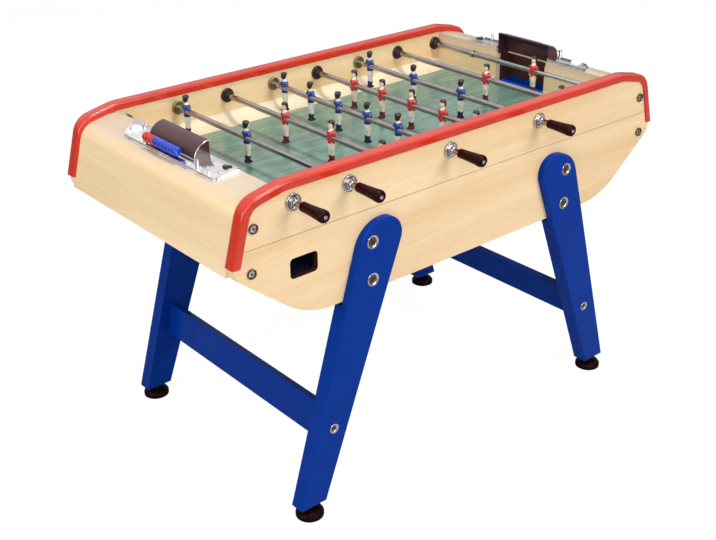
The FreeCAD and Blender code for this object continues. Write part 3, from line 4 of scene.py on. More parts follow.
import bpy
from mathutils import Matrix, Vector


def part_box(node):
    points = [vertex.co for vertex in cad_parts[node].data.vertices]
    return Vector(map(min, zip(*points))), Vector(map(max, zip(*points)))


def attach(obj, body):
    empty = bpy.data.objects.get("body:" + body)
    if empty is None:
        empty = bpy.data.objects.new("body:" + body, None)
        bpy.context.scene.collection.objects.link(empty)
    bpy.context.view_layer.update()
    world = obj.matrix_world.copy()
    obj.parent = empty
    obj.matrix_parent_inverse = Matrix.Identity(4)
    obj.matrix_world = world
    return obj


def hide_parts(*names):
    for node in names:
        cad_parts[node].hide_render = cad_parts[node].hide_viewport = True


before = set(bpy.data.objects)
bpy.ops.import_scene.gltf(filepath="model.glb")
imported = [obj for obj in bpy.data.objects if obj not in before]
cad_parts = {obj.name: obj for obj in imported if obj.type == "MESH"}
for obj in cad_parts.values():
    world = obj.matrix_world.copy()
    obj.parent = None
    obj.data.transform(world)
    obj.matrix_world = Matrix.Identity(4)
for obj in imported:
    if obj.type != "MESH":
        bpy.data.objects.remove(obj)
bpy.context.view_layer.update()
bpy.ops.object.select_all(action="DESELECT")

MM = 0.001

# rod number: team, number of players and the distance between them, mm
ROWS = {1: ("blue", 1, 0), 2: ("blue", 2, 282), 3: ("red", 3, 195), 4: ("blue", 5, 122),
        5: ("red", 5, 122), 6: ("blue", 3, 195), 7: ("red", 2, 282), 8: ("red", 1, 0)}
ROD_HEIGHT = 878
PANEL_OUT, PANEL_IN = 380, 354
LEG_LAP, CUP_DEPTH = 20, 5
LEG_BOLTS = [(350, 717), (350, 617)]
BEAM_BOLTS = [(482, 243)]
END_BOLTS = [(677, 845), (688, 739)]
BEADS = ("red",)*3 + ("blue",)*7
BEAD_LENGTH, BEAD_PITCH = 14.5, 15.1
# outer radius of a hood's barrel, the distance from the table's middle to its open side, and the
# radius of the chrome bead that stands in as a painted highlight on the hood's edge, mm
HOOD_RADIUS, HOOD_FRONT, HOOD_HIGHLIGHT_BEAD = 46, 597, 1.3
# screws, catch and hook on the left plate: out from the middle, across the table, up, mm
PLATE_SCREWS = [(636, -200, 912), (599, 189, 916), (659, 172, 907)]
PLATE_CATCH, PLATE_HOOK = (613, -190, 916), (655, -180, 920)


# ---------------------------------------------------------------- camera, lights, floor

def set_up_camera():
    camera_data = bpy.data.cameras.new("Camera")
    camera_data.lens = 55.74
    camera_data.sensor_width = 36
    camera_data.clip_end = 50
    camera = bpy.data.objects.new("Camera", camera_data)
    camera.location = (-1.9040, -2.2029, 1.8446)
    camera.rotation_euler = [math.radians(angle) for angle in (63.224, 0.708, -40.224)]
    bpy.context.collection.objects.link(camera)
    bpy.context.scene.camera = camera


def add_lamp(name, place, aim, size, power, colour=(1, 1, 1)):
    lamp_data = bpy.data.lights.new(name, "AREA")
    lamp_data.shape = "DISK"
    lamp_data.size = size
    lamp_data.energy = power
    lamp_data.color = colour
    lamp = bpy.data.objects.new(name, lamp_data)
    lamp.location = place
    direction = [a - b for a, b in zip(aim, place)]
    flat = math.hypot(direction[0], direction[1])
    lamp.rotation_euler = (math.atan2(flat, -direction[2]), 0,
                           math.atan2(direction[1], direction[0]) - math.pi/2)
    bpy.context.collection.objects.link(lamp)


def link_all(tree, pairs):
    for start, end in pairs:
        tree.links.new(start, end)


def set_up_light():
    add_lamp("KeyLamp", (0.9, -4.2, 3.0), (0, 0, 0.6), 2.4, 122)
    add_lamp("FillLamp", (-2.2, -3.8, 3.0), (0, 0, 0.55), 2.2, 70)
    add_lamp("SideLamp", (-4.4, -0.4, 2.2), (0, 0, 0.6), 2.2, 92)
    add_lamp("TopLamp", (-0.1, -0.5, 4.2), (0, 0, 0.8), 0.7, 80)
    world = bpy.data.worlds.new("Studio")
    world.use_nodes = True
    nodes = world.node_tree.nodes
    background = nodes["Background"]
    path = nodes.new("ShaderNodeLightPath")
    where = nodes.new("ShaderNodeTexCoord")
    split = nodes.new("ShaderNodeSeparateXYZ")
    rise = add_range(world.node_tree, 0.02, 0.5, 0.10, 1.15)
    soft, shade = nodes.new("ShaderNodeMix"), nodes.new("ShaderNodeMix")
    for mix, low in ((soft, 0.26), (shade, None)):
        mix.data_type = "RGBA"
        if low:
            mix.inputs[6].default_value = (low, low, low*1.03, 1)
    shade.inputs[7].default_value = (1, 1, 1, 1)
    link_all(world.node_tree, [
        (where.outputs["Generated"], split.inputs[0]),
        (split.outputs["Z"], rise.inputs["Value"]),
        (path.outputs["Is Glossy Ray"], soft.inputs[0]),
        (rise.outputs[0], soft.inputs[7]),
        (path.outputs["Is Camera Ray"], shade.inputs[0]),
        (soft.outputs[2], shade.inputs[6]),
        (shade.outputs[2], background.inputs["Color"]),
    ])
    bpy.context.scene.world = world


def set_up_floor():
    bpy.ops.mesh.primitive_plane_add(size=30, location=(0, 0, 0))
    floor = bpy.context.object
    floor.name = "Floor"
    material = bpy.data.materials.new("Floor")
    material.use_nodes = True
    nodes = material.node_tree.nodes
    surface = nodes["Principled BSDF"]
    surface.inputs["Base Color"].default_value = (0.62, 0.62, 0.62, 1)
    surface.inputs["Roughness"].default_value = 0.9
    surface.inputs["Specular IOR Level"].default_value = 0.1
    path = nodes.new("ShaderNodeLightPath")
    glow = nodes.new("ShaderNodeEmission")
    glow.inputs["Color"].default_value = (1, 1, 1, 1)
    glow.inputs["Strength"].default_value = 1.20
    blend = nodes.new("ShaderNodeMixShader")
    share = nodes.new("ShaderNodeMath")
    share.operation = "MULTIPLY"
    share.inputs[1].default_value = 0.78
    link_all(material.node_tree, [
        (path.outputs["Is Camera Ray"], share.inputs[0]),
        (share.outputs[0], blend.inputs[0]),
        (surface.outputs[0], blend.inputs[1]),
        (glow.outputs[0], blend.inputs[2]),
        (blend.outputs[0], nodes["Material Output"].inputs["Surface"]),
    ])
    floor.data.materials.append(material)


# ---------------------------------------------------------------- shared surface effects

def new_group(name, inputs, outputs):
    """A shader group with named sockets; each input is (name, kind, value)."""
    group = bpy.data.node_groups.new(name, "ShaderNodeTree")
    for label, kind, value in inputs:
        socket = group.interface.new_socket(label, in_out="INPUT", socket_type=kind)
        if value is not None:
            socket.default_value = value
    for label, kind in outputs:
        group.interface.new_socket(label, in_out="OUTPUT", socket_type=kind)
    return group, group.nodes.new("NodeGroupInput"), group.nodes.new("NodeGroupOutput")


def add_noise(tree, scale, detail=4, roughness=0.55, distortion=0.0):
    noise = tree.nodes.new("ShaderNodeTexNoise")
    noise.inputs["Scale"].default_value = scale
    noise.inputs["Detail"].default_value = detail
    noise.inputs["Roughness"].default_value = roughness
    noise.inputs["Distortion"].default_value = distortion
    return noise


def add_range(tree, low, high, to_low=0.0, to_high=1.0):
    spread = tree.nodes.new("ShaderNodeMapRange")
    for label, value in (("From Min", low), ("From Max", high), ("To Min", to_low),
                         ("To Max", to_high)):
        spread.inputs[label].default_value = value
    return spread


def make_grain_group():
    """Wood figure and pores; the vector's X runs along the grain, already stretched."""
    group, inlet, outlet = new_group("WoodGrain", [("Vector", "NodeSocketVector", None)], [
        ("Figure", "NodeSocketFloat"), ("Fibre", "NodeSocketFloat"), ("Height", "NodeSocketFloat")])
    broad = add_noise(group, 2.2, 2, 0.5, 1.4)
    rings = group.nodes.new("ShaderNodeTexWave")
    rings.bands_direction = "Y"
    rings.inputs["Scale"].default_value = 1.6
    rings.inputs["Distortion"].default_value = 9
    rings.inputs["Detail"].default_value = 2
    rings.inputs["Detail Scale"].default_value = 0.7
    fibre = add_noise(group, 34, 6, 0.7)
    blend = group.nodes.new("ShaderNodeMath")
    blend.operation = "MULTIPLY_ADD"
    blend.inputs[1].default_value = 0.35
    broad_range = add_range(group, 0.3, 0.72, 0.0, 0.65)
    fibre_range = add_range(group, 0.35, 0.68)
    link_all(group, [
        (inlet.outputs["Vector"], broad.inputs["Vector"]),
        (inlet.outputs["Vector"], rings.inputs["Vector"]),
        (inlet.outputs["Vector"], fibre.inputs["Vector"]),
        (broad.outputs["Fac"], broad_range.inputs["Value"]),
        (rings.outputs["Fac"], blend.inputs[0]),
        (broad_range.outputs[0], blend.inputs[2]),
        (blend.outputs[0], outlet.inputs["Figure"]),
        (fibre.outputs["Fac"], fibre_range.inputs["Value"]),
        (fibre_range.outputs[0], outlet.inputs["Fibre"]),
        (fibre.outputs["Fac"], outlet.inputs["Height"]),
    ])
    return group


def make_handling_group():
    """Soft patches where hands and cloths have been, and fine dust."""
    group, inlet, outlet = new_group("Handling", [
        ("Vector", "NodeSocketVector", None), ("Scale", "NodeSocketFloat", 8.0)], [
        ("Smudge", "NodeSocketFloat"), ("Dust", "NodeSocketFloat")])
    patch = add_noise(group, 8, 4, 0.6, 0.6)
    dust = add_noise(group, 260, 3, 0.6)
    many = group.nodes.new("ShaderNodeMath")
    many.operation = "MULTIPLY"
    many.inputs[1].default_value = 40
    patch_range, dust_range = add_range(group, 0.35, 0.7), add_range(group, 0.4, 0.75)
    link_all(group, [
        (inlet.outputs["Vector"], patch.inputs["Vector"]),
        (inlet.outputs["Vector"], dust.inputs["Vector"]),
        (inlet.outputs["Scale"], patch.inputs["Scale"]),
        (inlet.outputs["Scale"], many.inputs[0]),
        (many.outputs[0], dust.inputs["Scale"]),
        (patch.outputs["Fac"], patch_range.inputs["Value"]),
        (dust.outputs["Fac"], dust_range.inputs["Value"]),
        (patch_range.outputs[0], outlet.inputs["Smudge"]),
        (dust_range.outputs[0], outlet.inputs["Dust"]),
    ])
    return group


grain_group = make_grain_group()
handling_group = make_handling_group()


# ---------------------------------------------------------------- materials

def start_material(name):
    material = bpy.data.materials.new(name)
    material.use_nodes = True
    return material, material.node_tree, material.node_tree.nodes["Principled BSDF"]


def add_place(tree, scale=(1, 1, 1), rotation=(0, 0, 0)):
    """Object coordinates through a Mapping node."""
    where = tree.nodes.new("ShaderNodeTexCoord")
    mapping = tree.nodes.new("ShaderNodeMapping")
    mapping.inputs["Scale"].default_value = scale
    mapping.inputs["Rotation"].default_value = rotation
    tree.links.new(where.outputs["Object"], mapping.inputs["Vector"])
    return mapping


def add_group(tree, group):
    node = tree.nodes.new("ShaderNodeGroup")
    node.node_tree = group
    return node


def add_mix(tree, low, high):
    """Mixes two colours; each is a colour or an output socket."""
    mix = tree.nodes.new("ShaderNodeMix")
    mix.data_type = "RGBA"
    for socket, value in ((mix.inputs[6], low), (mix.inputs[7], high)):
        if isinstance(value, tuple):
            socket.default_value = (*value, 1)
        else:
            tree.links.new(value, socket)
    return mix


def add_bump(tree, surface, height, strength, distance):
    bump = tree.nodes.new("ShaderNodeBump")
    bump.inputs["Strength"].default_value = strength
    bump.inputs["Distance"].default_value = distance
    tree.links.new(height, bump.inputs["Height"])
    tree.links.new(bump.outputs["Normal"], surface.inputs["Normal"])


def make_box_group():
    """One inside a box given by its middle and half sizes, nought outside."""
    group, inlet, outlet = new_group("BoxMask", [
        ("Vector", "NodeSocketVector", None), ("Middle", "NodeSocketVector", None),
        ("Half", "NodeSocketVector", None)], [("Mask", "NodeSocketFloat")])
    away, size, room = (group.nodes.new("ShaderNodeVectorMath") for _ in range(3))
    away.operation, size.operation, room.operation = "SUBTRACT", "ABSOLUTE", "SUBTRACT"
    split = group.nodes.new("ShaderNodeSeparateXYZ")
    least = [group.nodes.new("ShaderNodeMath") for _ in range(3)]
    least[0].operation = least[1].operation = "MINIMUM"
    least[2].operation = "GREATER_THAN"
    least[2].inputs[1].default_value = 0
    link_all(group, [
        (inlet.outputs["Vector"], away.inputs[0]), (inlet.outputs["Middle"], away.inputs[1]),
        (away.outputs[0], size.inputs[0]),
        (inlet.outputs["Half"], room.inputs[0]), (size.outputs[0], room.inputs[1]),
        (room.outputs[0], split.inputs[0]),
        (split.outputs[0], least[0].inputs[0]), (split.outputs[1], least[0].inputs[1]),
        (least[0].outputs[0], least[1].inputs[0]), (split.outputs[2], least[1].inputs[1]),
        (least[1].outputs[0], least[2].inputs[0]), (least[2].outputs[0], outlet.inputs["Mask"]),
    ])
    return group


box_group = make_box_group()


def add_patch(tree, under, colour, middle, half):
    """Another colour inside a box of the object, mm; gives the colour after it."""
    where = tree.nodes.new("ShaderNodeTexCoord")
    mask = add_group(tree, box_group)
    mask.inputs["Middle"].default_value = [value*MM for value in middle]
    mask.inputs["Half"].default_value = [value*MM for value in half]
    mix = add_mix(tree, under, colour)
    link_all(tree, [(where.outputs["Object"], mask.inputs["Vector"]),
                    (mask.outputs["Mask"], mix.inputs[0])])
    return mix.outputs[2]


def add_crown(tree, under, colour, low, high):
    """Fades to another colour between two heights of the object, mm."""
    where, split = tree.nodes.new("ShaderNodeTexCoord"), tree.nodes.new("ShaderNodeSeparateXYZ")
    rise = add_range(tree, low*MM, high*MM)
    mix = add_mix(tree, under, colour)
    link_all(tree, [(where.outputs["Object"], split.inputs[0]),
                    (split.outputs["Z"], rise.inputs["Value"]), (rise.outputs[0], mix.inputs[0])])
    return mix.outputs[2]


def make_wood(name, pale, deep, along, gloss=0.34, patches=(), painted_top_shade=None):
    """Lacquered veneer whose grain runs along one axis, with patches of other colours and, if
    given, a painted shade that fades in towards the top.
    """
    material, tree, surface = start_material(name)
    turn = (0, 0, 0) if along == "x" else (0, 0, math.pi/2)
    mapping = add_place(tree, (0.55, 5.5, 5.5) if along == "x" else (5.5, 0.55, 5.5))
    swap = tree.nodes.new("ShaderNodeMapping")
    swap.inputs["Rotation"].default_value = turn
    grain, handling = add_group(tree, grain_group), add_group(tree, handling_group)
    handling.inputs["Scale"].default_value = 5
    colour = add_mix(tree, pale, deep)
    fine = add_mix(tree, colour.outputs[2], tuple(channel*0.80 for channel in deep))
    share = tree.nodes.new("ShaderNodeMath")
    share.operation = "MULTIPLY"
    share.inputs[1].default_value = 0.32
    rough = add_range(tree, 0, 1, gloss - 0.05, gloss + 0.09)
    finish = fine.outputs[2]
    for paint, middle, half in patches:
        finish = add_patch(tree, finish, paint, middle, half)
    # painted shade: a darker, greyer tone fading in between two heights towards the top
    if painted_top_shade:
        finish = add_crown(tree, finish, *painted_top_shade)
    link_all(tree, [
        (mapping.outputs[0], swap.inputs["Vector"]),
        (swap.outputs[0], grain.inputs["Vector"]),
        (swap.outputs[0], handling.inputs["Vector"]),
        (grain.outputs["Figure"], colour.inputs[0]),
        (grain.outputs["Fibre"], share.inputs[0]),
        (share.outputs[0], fine.inputs[0]),
        (finish, surface.inputs["Base Color"]),
        (handling.outputs["Smudge"], rough.inputs["Value"]),
        (rough.outputs[0], surface.inputs["Roughness"]),
    ])
    add_bump(tree, surface, grain.outputs["Height"], 0.06, 0.0006)
    surface.inputs["Specular IOR Level"].default_value = 0.3
    surface.inputs["Coat Weight"].default_value = 0.08
    surface.inputs["Coat Roughness"].default_value = 0.18
    return material


def make_moulded(name, colour, shade, rough=0.3, coat=0.0, grain=0.05, size=60, metal=0.0,
                 shine=0.3, patches=()):
    """Moulded, painted or plated surface with slow colour drift, smudges and a fine skin."""
    material, tree, surface = start_material(name)
    mapping = add_place(tree)
    handling = add_group(tree, handling_group)
    handling.inputs["Scale"].default_value = size
    mixed = add_mix(tree, colour, shade)
    spread = add_range(tree, 0, 1, max(0.02, rough - 0.06), rough + 0.08)
    finish = mixed.outputs[2]
    for paint, middle, half in patches:
        finish = add_patch(tree, finish, paint, middle, half)
    link_all(tree, [
        (mapping.outputs[0], handling.inputs["Vector"]),
        (handling.outputs["Smudge"], mixed.inputs[0]),
        (finish, surface.inputs["Base Color"]),
        (handling.outputs["Smudge"], spread.inputs["Value"]),
        (spread.outputs[0], surface.inputs["Roughness"]),
    ])
    add_bump(tree, surface, handling.outputs["Dust"], grain, 0.0002)
    surface.inputs["Metallic"].default_value = metal
    surface.inputs["Specular IOR Level"].default_value = 0.5 if metal else shine
    surface.inputs["Coat Weight"].default_value = coat
    surface.inputs["Coat Roughness"].default_value = 0.08
    return material


def make_field():
    """Green linoleum with pale streaks along the table."""
    material, tree, surface = start_material("FieldGreen")
    mapping = add_place(tree, (2.6, 15, 15))
    streak = add_noise(tree, 2.4, 5, 0.62, 0.9)
    fleck = add_noise(tree, 30, 4, 0.7, 0.2)
    streak_range, fleck_range = add_range(tree, 0.36, 0.70), add_range(tree, 0.42, 0.72, 0, 0.45)
    base = add_mix(tree, (0.085, 0.185, 0.142), (0.185, 0.310, 0.245))
    top = add_mix(tree, base.outputs[2], (0.24, 0.37, 0.30))
    link_all(tree, [
        (mapping.outputs[0], streak.inputs["Vector"]),
        (mapping.outputs[0], fleck.inputs["Vector"]),
        (streak.outputs["Fac"], streak_range.inputs["Value"]),
        (fleck.outputs["Fac"], fleck_range.inputs["Value"]),
        (streak_range.outputs[0], base.inputs[0]),
        (fleck_range.outputs[0], top.inputs[0]),
        (top.outputs[2], surface.inputs["Base Color"]),
    ])
    surface.inputs["Roughness"].default_value = 0.2
    add_bump(tree, surface, fleck.outputs["Fac"], 0.03, 0.0003)
    return material


PALE, DEEP = (0.83, 0.63, 0.385), (0.70, 0.475, 0.245)
EDGE_BROWN, CHUTE_NAVY = (0.055, 0.020, 0.010), (0.002, 0.004, 0.020)
wood_along_x = make_wood("VeneerAlongTable", PALE, DEEP, "x", patches=[
    ((0.54, 0.35, 0.17), (0, 0, 796), (800, 400, 1.1)),
    (EDGE_BROWN, (-542, -367, 713), (42, 12.6, 27)),
    (CHUTE_NAVY, (-542, -353, 713), (42, 9, 27))])
# end panels: painted shade, darker and greyer from the top bend (878 to 902 mm up) over the whole
# deck
wood_along_y = make_wood("VeneerAcrossTable", (0.85, 0.67, 0.42), (0.75, 0.54, 0.30), "y",
                         painted_top_shade=((0.57, 0.455, 0.33), 878, 902))
wood_inside = make_wood("PlywoodInside", (0.62, 0.45, 0.26), (0.48, 0.32, 0.16), "x", 0.5)
bank_cream = make_moulded("BankCream", (0.72, 0.62, 0.44), (0.66, 0.55, 0.38), 0.3, 0.1, 0.03, 9)
rail_red = make_moulded("RailRed", (0.52, 0.030, 0.011), (0.46, 0.024, 0.009), 0.26, 0.45, 0.02, 12,
                        shine=0.2)
leg_blue = make_moulded("LegBlue", (0.0005, 0.030, 0.245), (0.0005, 0.026, 0.215),
                        0.3, 0.03, 0.03, 10, shine=0.04)
field_green = make_field()
chrome = make_moulded("Chrome", (0.52, 0.48, 0.49), (0.40, 0.36, 0.37), 0.13, 0, 0.02, 50, 1.0)
steel = make_moulded("DrawnSteel", (0.56, 0.55, 0.56), (0.44, 0.43, 0.44), 0.24, 0, 0.06, 40, 1.0)
alloy = make_moulded("PlateAlloy", (0.84, 0.82, 0.85), (0.52, 0.50, 0.53), 0.14, 0, 0.05, 22, 1.0)
rod_steel = make_moulded("RodSteel", (0.36, 0.33, 0.33), (0.29, 0.27, 0.27), 0.12, 0, 0.03, 30, 1.0)
chute_dark = make_moulded("ChuteDark", (0.004, 0.008, 0.030), (0.003, 0.006, 0.020),
                          0.5, 0, 0.1, 30, shine=0.1)
hood_brown = make_moulded("HoodBrown", (0.070, 0.028, 0.030), (0.052, 0.021, 0.023),
                          0.16, 0.15, 0.02, 14, shine=0.2)
lining_brown = make_moulded("LiningBrown", (0.090, 0.038, 0.026), (0.060, 0.026, 0.020),
                            0.4, 0, 0.06, 14, shine=0.15,
                            patches=[((0.002, 0.060, 0.46), (0, 0, 700), (700, 400, 104.5))])
old_brass = make_moulded("OldBrass", (0.30, 0.25, 0.13), (0.20, 0.16, 0.09), 0.34, 0, 0.12, 60, 1.0)
bush_brown = make_moulded("BushBrown", (0.022, 0.008, 0.007), (0.014, 0.006, 0.005),
                          0.3, 0, 0.08, 60)
grip_black = make_moulded("GripBlack", (0.014, 0.001, 0.001), (0.018, 0.002, 0.002),
                          0.2, 0, 0.02, 40, shine=0.07)
foot_black = make_moulded("FootBlack", (0.006, 0.001, 0.001), (0.010, 0.003, 0.003),
                          0.3, 0, 0.08, 40, shine=0.03)
bead_blue = make_moulded("BeadBlue", (0.002, 0.045, 0.46), (0.002, 0.030, 0.32),
                         0.12, 0.3, 0.02, 60)
bead_red = make_moulded("BeadRed", (0.50, 0.022, 0.014), (0.36, 0.014, 0.010), 0.12, 0.3, 0.02, 60)
ball_white = make_moulded("BallWhite", (0.84, 0.82, 0.78), (0.78, 0.75, 0.70), 0.5, 0, 0.2, 40)
rim_bronze = make_moulded("RimBronze", (0.16, 0.11, 0.09), (0.07, 0.045, 0.04),
                          0.16, 0, 0.05, 60, 1.0)
bolt_brown = make_moulded("BoltBrown", (0.085, 0.040, 0.018), (0.045, 0.022, 0.012),
                          0.32, 0, 0.1, 70)
skin = make_moulded("FigureSkin", (0.80, 0.60, 0.46), (0.70, 0.48, 0.35), 0.36, 0.2, 0.05, 60)
shorts_cream = make_moulded("ShortsCream", (0.74, 0.70, 0.60), (0.62, 0.57, 0.47),
                            0.38, 0.15, 0.05, 60)
hair_black = make_moulded("HairBlack", (0.010, 0.008, 0.008), (0.018, 0.014, 0.012),
                          0.3, 0.2, 0.1, 80)
lip_red = make_moulded("LipRed", (0.42, 0.12, 0.09), (0.36, 0.10, 0.08), 0.45, 0, 0.02, 80)
shirts = {
    "blue": make_moulded("ShirtBlue", (0.008, 0.040, 0.235), (0.006, 0.026, 0.16),
                         0.22, 0.3, 0.05, 60),
    "red": make_moulded("ShirtRed", (0.50, 0.030, 0.026), (0.36, 0.020, 0.018),
                        0.24, 0.3, 0.05, 60)}
socks = {
    "blue": make_moulded("SocksBlue", (0.006, 0.020, 0.075), (0.004, 0.014, 0.05),
                         0.4, 0.1, 0.08, 60),
    "red": make_moulded("SocksRed", (0.19, 0.012, 0.012), (0.13, 0.009, 0.009), 0.4, 0.1, 0.08, 60)}
boots = {
    "blue": make_moulded("BootsBlue", (0.006, 0.008, 0.014), (0.010, 0.012, 0.018),
                         0.35, 0.1, 0.1, 80),
    "red": make_moulded("BootsRed", (0.060, 0.006, 0.006), (0.040, 0.005, 0.005),
                        0.35, 0.1, 0.1, 80)}


def dress(node, material):
    """Gives a carried-over node its finish."""
    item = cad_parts[node]
    item.data.materials.clear()
    item.data.materials.append(material)


for node, material in {
    "side_panel_near": wood_along_x, "side_panel_far": wood_along_x,
    "end_panel_left": wood_along_y, "end_panel_right": wood_along_y,
    "cabinet_bottom": wood_inside, "ball_chute": chute_dark,
    "top_rails": rail_red, "playfield": field_green, "field_banks": bank_cream,
    "leg_near_left": leg_blue, "leg_near_right": leg_blue, "leg_far_left": leg_blue,
    "leg_far_right": leg_blue, "stretchers": leg_blue, "score_plates": alloy,
    "score_wires": steel, "cabinet_bolts": steel, "rod_bearings": chrome,
    "core_sockets": old_brass, "goal_boxes": lining_brown, "goal_hoods": hood_brown,
    "game_balls": ball_white, "score_beads_left": bead_blue, "score_beads_right": bead_blue,
    "foot_near_left": foot_black, "foot_near_right": foot_black, "foot_far_left": foot_black,
    "foot_far_right": foot_black,
}.items():
    dress(node, material)
for number in range(1, 9):
    dress(f"rod_{number}_core", steel)
    dress(f"rod_{number}_tube", rod_steel)
    dress(f"rod_{number}_handle", grip_black)
    dress(f"rod_{number}_figures", bead_blue if ROWS[number][0] == "blue" else bead_red)


# ---------------------------------------------------------------- modelling helpers

def pick(item):
    """Makes one object the only selected and active one."""
    bpy.ops.object.select_all(action="DESELECT")
    item.select_set(True)
    bpy.context.view_layer.objects.active = item


def begin_edit(item):
    pick(item)
    bpy.ops.object.mode_set(mode="EDIT")
    bpy.ops.mesh.select_all(action="SELECT")


def end_edit():
    bpy.ops.mesh.select_all(action="SELECT")
    bpy.ops.mesh.normals_make_consistent(inside=False)
    bpy.ops.object.mode_set(mode="OBJECT")


def apply_place(item):
    pick(item)
    bpy.ops.object.transform_apply(location=True, rotation=True, scale=True)


def smooth(item, angle=35):
    pick(item)
    bpy.ops.object.shade_smooth_by_angle(angle=math.radians(angle))


def loft(name, sections, sides=24, closed=True):
    """Ellipses stacked along Z, each given as height, half X, half Y, middle X, middle Y, mm."""
    height, half_x, half_y, mid_x, mid_y = sections[0]
    bpy.ops.mesh.primitive_circle_add(vertices=sides, radius=1,
                                      location=(mid_x*MM, mid_y*MM, height*MM))
    item = bpy.context.object
    item.name = name
    item.scale = (half_x*MM, half_y*MM, 1)
    apply_place(item)
    begin_edit(item)
    for step in sections[1:]:
        move = ((step[3] - mid_x)*MM, (step[4] - mid_y)*MM, (step[0] - height)*MM)
        bpy.ops.mesh.extrude_region_move(TRANSFORM_OT_translate={"value": move})
        grow = (step[1]/half_x, step[2]/half_y, 1)
        height, half_x, half_y, mid_x, mid_y = step
        bpy.ops.transform.resize(value=grow, center_override=(mid_x*MM, mid_y*MM, height*MM))
    if closed:
        bpy.ops.mesh.select_all(action="SELECT")
        bpy.ops.mesh.fill_holes(sides=0)
    end_edit()
    return item


def lathe(name, profile, sides=48, ring=False):
    """A turned piece about Z from (radius, height) points in mm; a ring closes on itself."""
    points = profile + profile[:1] if ring else profile
    item = loft(name, [(height, max(radius, 0.05), max(radius, 0.05), 0, 0)
                       for radius, height in points], sides, closed=not ring)
    if ring:
        begin_edit(item)
        bpy.ops.mesh.remove_doubles(threshold=1e-6)
        end_edit()
    return item


def ball_shape(name, middle, radii, sides=20):
    bpy.ops.mesh.primitive_uv_sphere_add(segments=sides, ring_count=sides//2 + 2, radius=1,
                                         location=[value*MM for value in middle])
    item = bpy.context.object
    item.name = name
    item.scale = [value*MM for value in radii]
    apply_place(item)
    smooth(item, 80)
    return item


def join(name, items):
    bpy.ops.object.select_all(action="DESELECT")
    for item in items:
        item.select_set(True)
    bpy.context.view_layer.objects.active = items[0]
    bpy.ops.object.join()
    items[0].name = name
    return items[0]


def painted(item, material):
    item.data.materials.clear()
    item.data.materials.append(material)
    return item


def put(item, place=(0, 0, 0), turn=(0, 0, 0)):
    """Turns a piece about the origin (degrees) and moves it (mm), in its mesh."""
    item.rotation_euler = [math.radians(angle) for angle in turn]
    item.location = [value*MM for value in place]
    apply_place(item)
    return item


def copy_at(source, name, place=(0, 0, 0), turn=(0, 0, 0)):
    item = source.copy()
    item.data = source.data.copy()
    item.name = name
    bpy.context.collection.objects.link(item)
    return put(item, place, turn)


def discard(item):
    pick(item)
    bpy.ops.object.delete()


# ---------------------------------------------------------------- figures

def rod_spots(node):
    """X of a rod's node and its two ends in Y, mm."""
    low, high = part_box(node)
    return (low[0] + high[0])/2/MM, low[1]/MM, high[1]/MM


